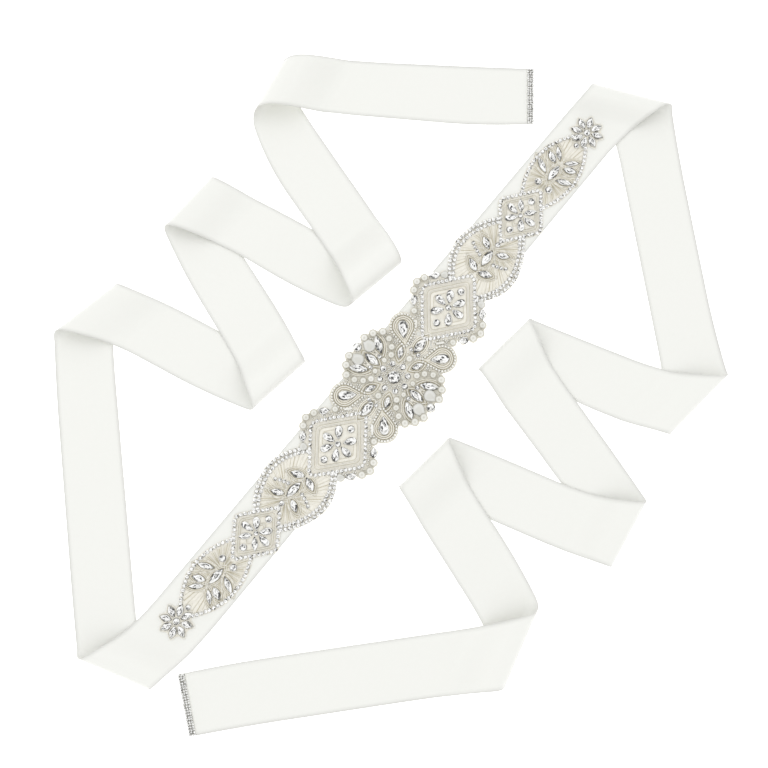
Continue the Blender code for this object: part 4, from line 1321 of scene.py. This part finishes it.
def offset_shape(stone, grow):
    """The outline of a stone's shape, grown; a navette's tips grow more than its sides."""
    longer = TIP_GROWTH if stone.kind == "navette" else OTHER_GROWTH
    size = (stone.length + 2 * longer * grow, stone.width + 2 * grow)
    return turned(unit_ring(stone.kind, 48) * size, stone.turn) + (stone.a, stone.b)


def clear_of_stones(points, motif, margin):
    free = np.ones(len(points), bool)
    for stone in stones:
        nearest = np.hypot(*(points - (stone.a, stone.b)).T).min()
        if nearest < stone.length / 2 + STONE_REACH:
            free &= ~inside(offset_shape(stone, margin), points)
    for other, edge in outlines.items():
        if other.level > motif.level:
            free &= ~inside(edge, points)
    return free


def refine(points, closed):
    looped = np.vstack([points, points[:1]]) if closed else np.asarray(points)
    lengths = np.concatenate([[0.0], np.cumsum(np.hypot(*np.diff(looped, axis=0).T))])
    count = max(3, int(lengths[-1] / PATH_STEP))
    at = np.linspace(0, lengths[-1], count + 1)[:-1 if closed else None]
    return np.column_stack([np.interp(at, lengths, looped[:, i]) for i in (0, 1)])


def broken(points, closed, motif, margin):
    """Runs of a path that are clear of stones and of the motifs above."""
    points = refine(points, closed)
    free = clear_of_stones(points, motif, margin)
    if free.all():
        return [(points, closed)]
    if closed:
        start = int(np.argmin(free))
        points, free = np.roll(points, -start, axis=0), np.roll(free, -start)
    runs, run = [], []
    for point, keep in zip(points, free):
        if keep:
            run.append(point)
        elif run:
            runs.append(run)
            run = []
    runs.append(run)
    return [(np.array(run), False) for run in runs if len(run) * PATH_STEP > LEAST_RUN]


def laid(points, motif, up):
    return on_sash(*np.asarray(points).T, motif.level + GROUND + up)


Line = namedtuple("Line", "pitch stone height")
LINES = {"chain": Line(2.75, 2.6, 1.25), "beads": Line(1.95, 1.9, 1.7)}
LINE_LIFT = 0.1
CORDS = {"cord": 0.42, "thread": 0.26, "gold": 0.2, "wire": 0.16}       # their radii
paths = {kind: [] for kind in [*LINES, *CORDS]}
occupied = []


def add_path(kind, motif, points, closed, margin):
    """Adds a path's clear runs to the lines of that kind."""
    for run, whole in broken(points, closed, motif, margin):
        occupied.append(run)
        if kind in LINES:
            pitch, stone, height = LINES[kind]
            paths[kind].append((laid(run, motif, LINE_LIFT), whole, pitch, (stone, stone, height)))
        else:
            paths[kind].append((laid(run, motif, CORDS[kind]), whole, CORDS[kind]))


# %% Draw the diamonds and the medallion
DIAMOND_LINES = {       # cords inside the chain: kind, how far out
    "diamond": (("thread", -1.9), ("thread", -2.6), ("wire", -3.2), ("thread", -4.0),
                ("thread", -4.7), ("wire", -5.3), ("wire", -7.4), ("thread", -9.0)),
    "small_diamond": [(("thread", "wire")[step % 2], -1.9 - 0.65 * step) for step in range(14)],
}
LOOP_LINES = (("beads", 0.0), ("gold", 1.15), ("cord", 1.75), ("gold", 2.4), ("cord", 3.0),
              ("gold", 3.55))       # kind, how far in
LOOP_SWEEP, LOOP_FOOT = 118, 0.9    # degrees either way round the head; half the foot's gap
LEAF_RINGS = (("gold", 0.3), ("thread", 0.7), ("gold", 1.1), ("thread", 1.5), ("wire", 1.9))
NAVETTE_RINGS = {       # cords round the navettes: kind, how far out
    "medallion": (("gold", 0.4), ("cord", 0.95), ("gold", 1.5), ("cord", 2.05), ("gold", 2.6)),
    "oval": LEAF_RINGS, "end_oval": LEAF_RINGS, "tip_flower": (("thread", 0.6),),
}
SMALLEST_RINGED = 5     # the medallion's stones are this many times longer than a ring lies out


def ring_navettes(motif, margin, smallest=0):
    """Rings round a motif's navettes, without those that lie too far out for a small stone."""
    for stone in stones:
        if stone.motif is motif and stone.kind == "navette":
            for kind, grow in NAVETTE_RINGS[motif.name]:
                if grow * smallest < stone.length:
                    add_path(kind, motif, offset_shape(stone, grow), True, margin)


def draw_diamond(motif):
    half = DIAMOND_HALF[motif.name]
    add_path("chain", motif, diamond_ring(half, 0.0, motif.middle), True, 0.2)
    for kind, offset in DIAMOND_LINES[motif.name]:
        add_path(kind, motif, diamond_ring(half, offset, motif.middle), True, 0.3)


def draw_medallion(motif):
    sweep = np.radians(np.linspace(-LOOP_SWEEP, LOOP_SWEEP, 25))
    circle = np.column_stack([np.cos(sweep), np.sin(sweep)])
    for mirror in ((1, 1), (1, -1), (-1, 1), (-1, -1)):
        for kind, inset in LOOP_LINES:
            radius = LOOP_RADIUS - inset
            tail = LOOP_TAIL * radius / LOOP_RADIUS
            loop = np.vstack([(-tail, -LOOP_FOOT), radius * circle, (-tail, LOOP_FOOT)])
            path = (turned(loop, LOOP_DIRECTION) + LOOP_HEAD) * mirror + motif.middle
            add_path(kind, motif, path, False, -0.2 if kind == "beads" else 0.1)
    ring_navettes(motif, 0.05, SMALLEST_RINGED)


# %% Draw the ovals and the flowers
OVAL_CHAINS = {"oval": (1.4, 4.3), "end_oval": (1.6,)}      # how far in the rows of chain lie
NODES = {"oval": 6.2, "end_oval": -6.0}     # where an oval's rays spread from, along a
RAYS = ("thread", "wire", "gold", "wire")   # their kinds, in turn
RAY_TURN = 5.0          # degrees from ray to ray
RAY_START, RAY_LENGTH = 1.2, 60.0
RAY_GAP = 1.5           # from the inner chain to the ends of the rays


def draw_oval(motif):
    oval, rows = OVALS[motif.name], OVAL_CHAINS[motif.name]
    aside = motif.middle[1]
    at = np.linspace(oval.widest - oval.inner + 1, oval.widest + oval.outer - 1, 80)
    for sign in (-1, 1):
        for inset in rows:
            side = oval_side(oval, at) - inset
            row = np.column_stack([at * motif.outward, side * sign + aside])
            add_path("chain", motif, row[side > 0.5], False, 0.2)
    node = np.array([NODES[motif.name] * motif.outward, 0.0]) + motif.middle
    for number, angle in enumerate(np.radians(np.arange(0.0, 360.0, RAY_TURN))):
        ray = np.array([math.cos(angle), math.sin(angle)])
        path = node + np.outer(np.linspace(RAY_START + number % 3, RAY_LENGTH, 60), ray)
        room = oval_side(oval, path[:, 0] * motif.outward) - rows[-1] - RAY_GAP
        path = path[np.abs(path[:, 1] - aside) < room]
        if len(path) > 3:
            add_path(RAYS[number % len(RAYS)], motif, path, False, 0.3)
    ring_navettes(motif, 0.05)


def draw_flower(motif):
    ring_navettes(motif, 0.1)


DRAW = {"medallion": draw_medallion, "diamond": draw_diamond, "small_diamond": draw_diamond,
        "oval": draw_oval, "end_oval": draw_oval, "tip_flower": draw_flower}
for motif in motifs:
    DRAW[motif.name](motif)
print("paths:", {kind: len(found) for kind, found in paths.items()})

# %% String the chains and lay the cords
made["chain"] = string_beads("chain_stones", paths["chain"], chain_stone_shape(), chain_crystal,
                             0.3, 21)
made["cups"] = string_beads("chain_cups", paths["chain"], chain_cup_shape(), cup_silver)
made["bead_rows"] = string_beads("bead_rows", paths["beads"], ball_shape("bead", 8, 4, -0.4),
                                 silver_bead, 0.0, 23)
made["cords"] = lay_cords("bullion_cords", paths["cord"] + paths["thread"], bullion)
made["gold"] = lay_cords("gold_wires", paths["gold"], gold)
made["wires"] = lay_cords("pale_wires", paths["wire"], pale_wire)

# %% [markdown]
# ## Beads between the stones
# Nothing of the medallion's ground stays bare: small beads fill what the stones and cords leave,
# and so they do along the edges of the diamonds. Their places are a jittered grid, from a fixed
# seed, without the places that are taken. Two long bugle beads lie beside each diamond's inner tip.

# %% Fill with seed beads
FILL_PITCH = 1.45
FILL_ROW = 0.87 * FILL_PITCH
FILL_JITTER = 0.18
FILL_INSET = 0.965      # the beads lie within this share of an outline
STONE_GAP, PATH_GAP = 0.55, 0.85    # from a bead's middle to a stone, and to a path
MOTIF_REACH = 45.0
SEED_BEAD = (1.35, 1.35, 1.3)
BUGLE = (5.4, 1.9, 1.8)
BUGLE_TURN = 40


def fill_places(motif, region):
    grid = grid_over(outlines[motif], FILL_PITCH, FILL_ROW)
    grid[1::2, :, 0] += FILL_PITCH / 2
    jitter = np.random.default_rng(7).uniform(-FILL_JITTER, FILL_JITTER, (grid.size // 2, 2))
    points = well_inside(motif, grid.reshape(-1, 2) + jitter, FILL_INSET)
    free = region(points - motif.middle) & clear_of_stones(points, motif, STONE_GAP)
    points = points[free]
    taken = np.vstack(occupied)
    near = taken[np.abs(taken[:, 0] - motif.middle[0]) < MOTIF_REACH]
    gap = np.array([np.hypot(*(near - point).T).min() for point in points])
    return points[gap > PATH_GAP]


def anywhere(points):
    return np.ones(len(points), bool)


def outside_diamond(points):
    length, width = DIAMOND_HALF["diamond"]
    return np.abs(points[:, 0]) / length + np.abs(points[:, 1]) / width > 1.1


REGIONS = {"medallion": anywhere, "diamond": outside_diamond}
fill_rows, bugle_rows = [], []
for motif in motifs:
    if motif.name not in REGIONS:
        continue
    for side in ((-1, 1) if motif.name == "diamond" else ()):
        middle = np.array([-motif.outward * TIP_BUGLE[0], side * TIP_BUGLE[1]]) + motif.middle
        turn = side * motif.outward * BUGLE_TURN
        place = on_sash(*middle, motif.level + GROUND)[0]
        bugle_rows.append((place, BUGLE, turn_on_sash(turn)))
        occupied.append(refine(turned([(-2.6, 0), (2.6, 0)], turn) + middle, False))
    places = fill_places(motif, REGIONS[motif.name])
    fill_rows += [(point, SEED_BEAD, 0.0) for point in on_sash(*places.T, motif.level + GROUND)]
made["beads"] = set_stones("seed_beads", fill_rows, ball_shape("seed", 8, 4, -0.4), silver_bead,
                           0.0, 41)
made["bugles"] = set_stones("bugle_beads", bugle_rows, tube_shape("bugle", 8), silver_bead, 0.0, 43)
print("seed beads:", len(fill_rows))

# %% [markdown]
# ## The end trims
# Each cut end is closed by a band of small rhinestones, three rows wide, fixed over the satin.

# %% Three rows of stones across each end
TRIM_ROWS, TRIM_STONES = 3, 24
TRIM_INSET, TRIM_PITCH = 0.5, 1.5   # from the cut end to the first row, and from row to row
TRIM_STONE = (1.5, 1.5, 1.1)


def end_trim(side):
    start, end = (np.array(point) for point in CUT_ENDS[side])
    inward = tails[side][-1].rows()[:, 0, :2][-6]
    if (inward - start) @ left_of(unit(end - start)) < 0:
        start, end = end, start
    across = unit(end - start)
    back = left_of(across)
    width = np.hypot(*(end - start))
    turn = math.atan2(across[1], across[0])
    rows = []
    for row in range(TRIM_ROWS):
        for place in (np.arange(TRIM_STONES) + 0.5) * width / TRIM_STONES:
            point = start + across * place + back * (TRIM_INSET + row * TRIM_PITCH)
            rows.append(((*point, SATIN + 0.1), TRIM_STONE, turn))
    return rows


for side in ("right", "left"):
    rows = end_trim(side)
    made["trim_" + side] = set_stones(f"end_trim_stones_{side}", rows, chain_stone_shape(),
                                      chain_crystal, 0.3, 51)
    made["trim_cups_" + side] = set_stones(f"end_trim_cups_{side}", rows, chain_cup_shape(),
                                           cup_silver)

# %% [markdown]
# ## Put each piece on the body
# Every piece rides on the one body. Pieces that stand for solids of the model hide them.

# %% Ride and replace
nodes = list(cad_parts)
ribbons = [name for name in nodes if name.startswith("ribbon_")]
trims = [name for name in nodes if name.startswith("end_trim_")]
beadwork = [name for name in nodes if name not in ribbons + trims]
for thing in [ribbon, ground, *made.values()]:
    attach(thing, "root")
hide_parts(*ribbons)
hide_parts(*beadwork)
for side in ("right", "left"):
    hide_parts(f"end_trim_{side}")
print("replaced:", len(ribbons), "ribbon,", len(beadwork), "beadwork,", len(trims), "trim solids")

# %% [markdown]
# ## Camera, floor and light
# The sash is seen from almost straight above. The floor is plain white. The sky is brightest
# overhead and grey near the horizon, so the loops of satin and the facets have something to show,
# and one large soft light gives the satin its sheen.

# %% Camera
CAMERA_TARGET = np.array([-3.9, 1.1, 0.0])
CAMERA_DISTANCE = 670.0
CAMERA_TILT = math.radians(7.1)
camera = bpy.data.objects.new("camera", bpy.data.cameras.new("camera"))
camera.data.lens = 50.0
camera.data.sensor_width = 36.0
camera.data.clip_start = 0.01
away = np.array([0.0, -math.sin(CAMERA_TILT), math.cos(CAMERA_TILT)])
camera.location = (CAMERA_TARGET + CAMERA_DISTANCE * away) * MM
camera.rotation_euler = (CAMERA_TILT, 0.0, 0.0)
bpy.context.scene.collection.objects.link(camera)
bpy.context.scene.camera = camera

# %% Floor
FLOOR_HALF = 3.0        # metres
floor_mesh = bpy.data.meshes.new("floor")
floor_mesh.from_pydata([(x * FLOOR_HALF, y * FLOOR_HALF, 0.0)
                        for x, y in ((-1, -1), (1, -1), (1, 1), (-1, 1))], [], [(0, 1, 2, 3)])
floor = new_object("floor", floor_mesh)
floor_material, _, floor_shader = new_material("white_floor", (0.96, 0.96, 0.96), Roughness=0.9,
                                               Specular_IOR_Level=0.1)
floor_shader.inputs["Emission Color"].default_value = (1.0, 1.0, 1.0, 1.0)
floor_shader.inputs["Emission Strength"].default_value = 0.7
floor_mesh.materials.append(floor_material)
floor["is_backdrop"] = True

# %% Light
world = bpy.data.worlds.new("studio")
bpy.context.scene.world = world
world.use_nodes = True
tree = world.node_tree
direction = add_node(tree, "ShaderNodeTexCoord").outputs["Generated"]
height = add_node(tree, "ShaderNodeSeparateXYZ", {0: direction}).outputs["Z"]
sky = ramp(tree, height, [(place, (grey, grey, grey))
                          for place, grey in ((0.0, 0.80), (0.5, 0.92), (1.0, 1.0))])
background = tree.nodes["Background"]
tree.links.new(sky, background.inputs["Color"])
background.inputs["Strength"].default_value = 1.10

lamp = bpy.data.objects.new("softbox", bpy.data.lights.new("softbox", "AREA"))
lamp.data.shape = "DISK"
lamp.data.size = 0.7
lamp.data.energy = 0.8
lamp.location = (-0.6, 0.7, 1.1)
lamp.rotation_euler = (Vector((0, 0, 0)) - lamp.location).to_track_quat("-Z", "Y").to_euler()
bpy.context.scene.collection.objects.link(lamp)
bpy.context.scene.view_settings.view_transform = "Standard"

# %% Finish
sizes = {"cad": [list(corner) for corner in solid_box], "visual": [list(corner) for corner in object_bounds()]}
print("visual box in mm:",
      [[round(value / MM, 1) for value in corner] for corner in sizes["visual"]])
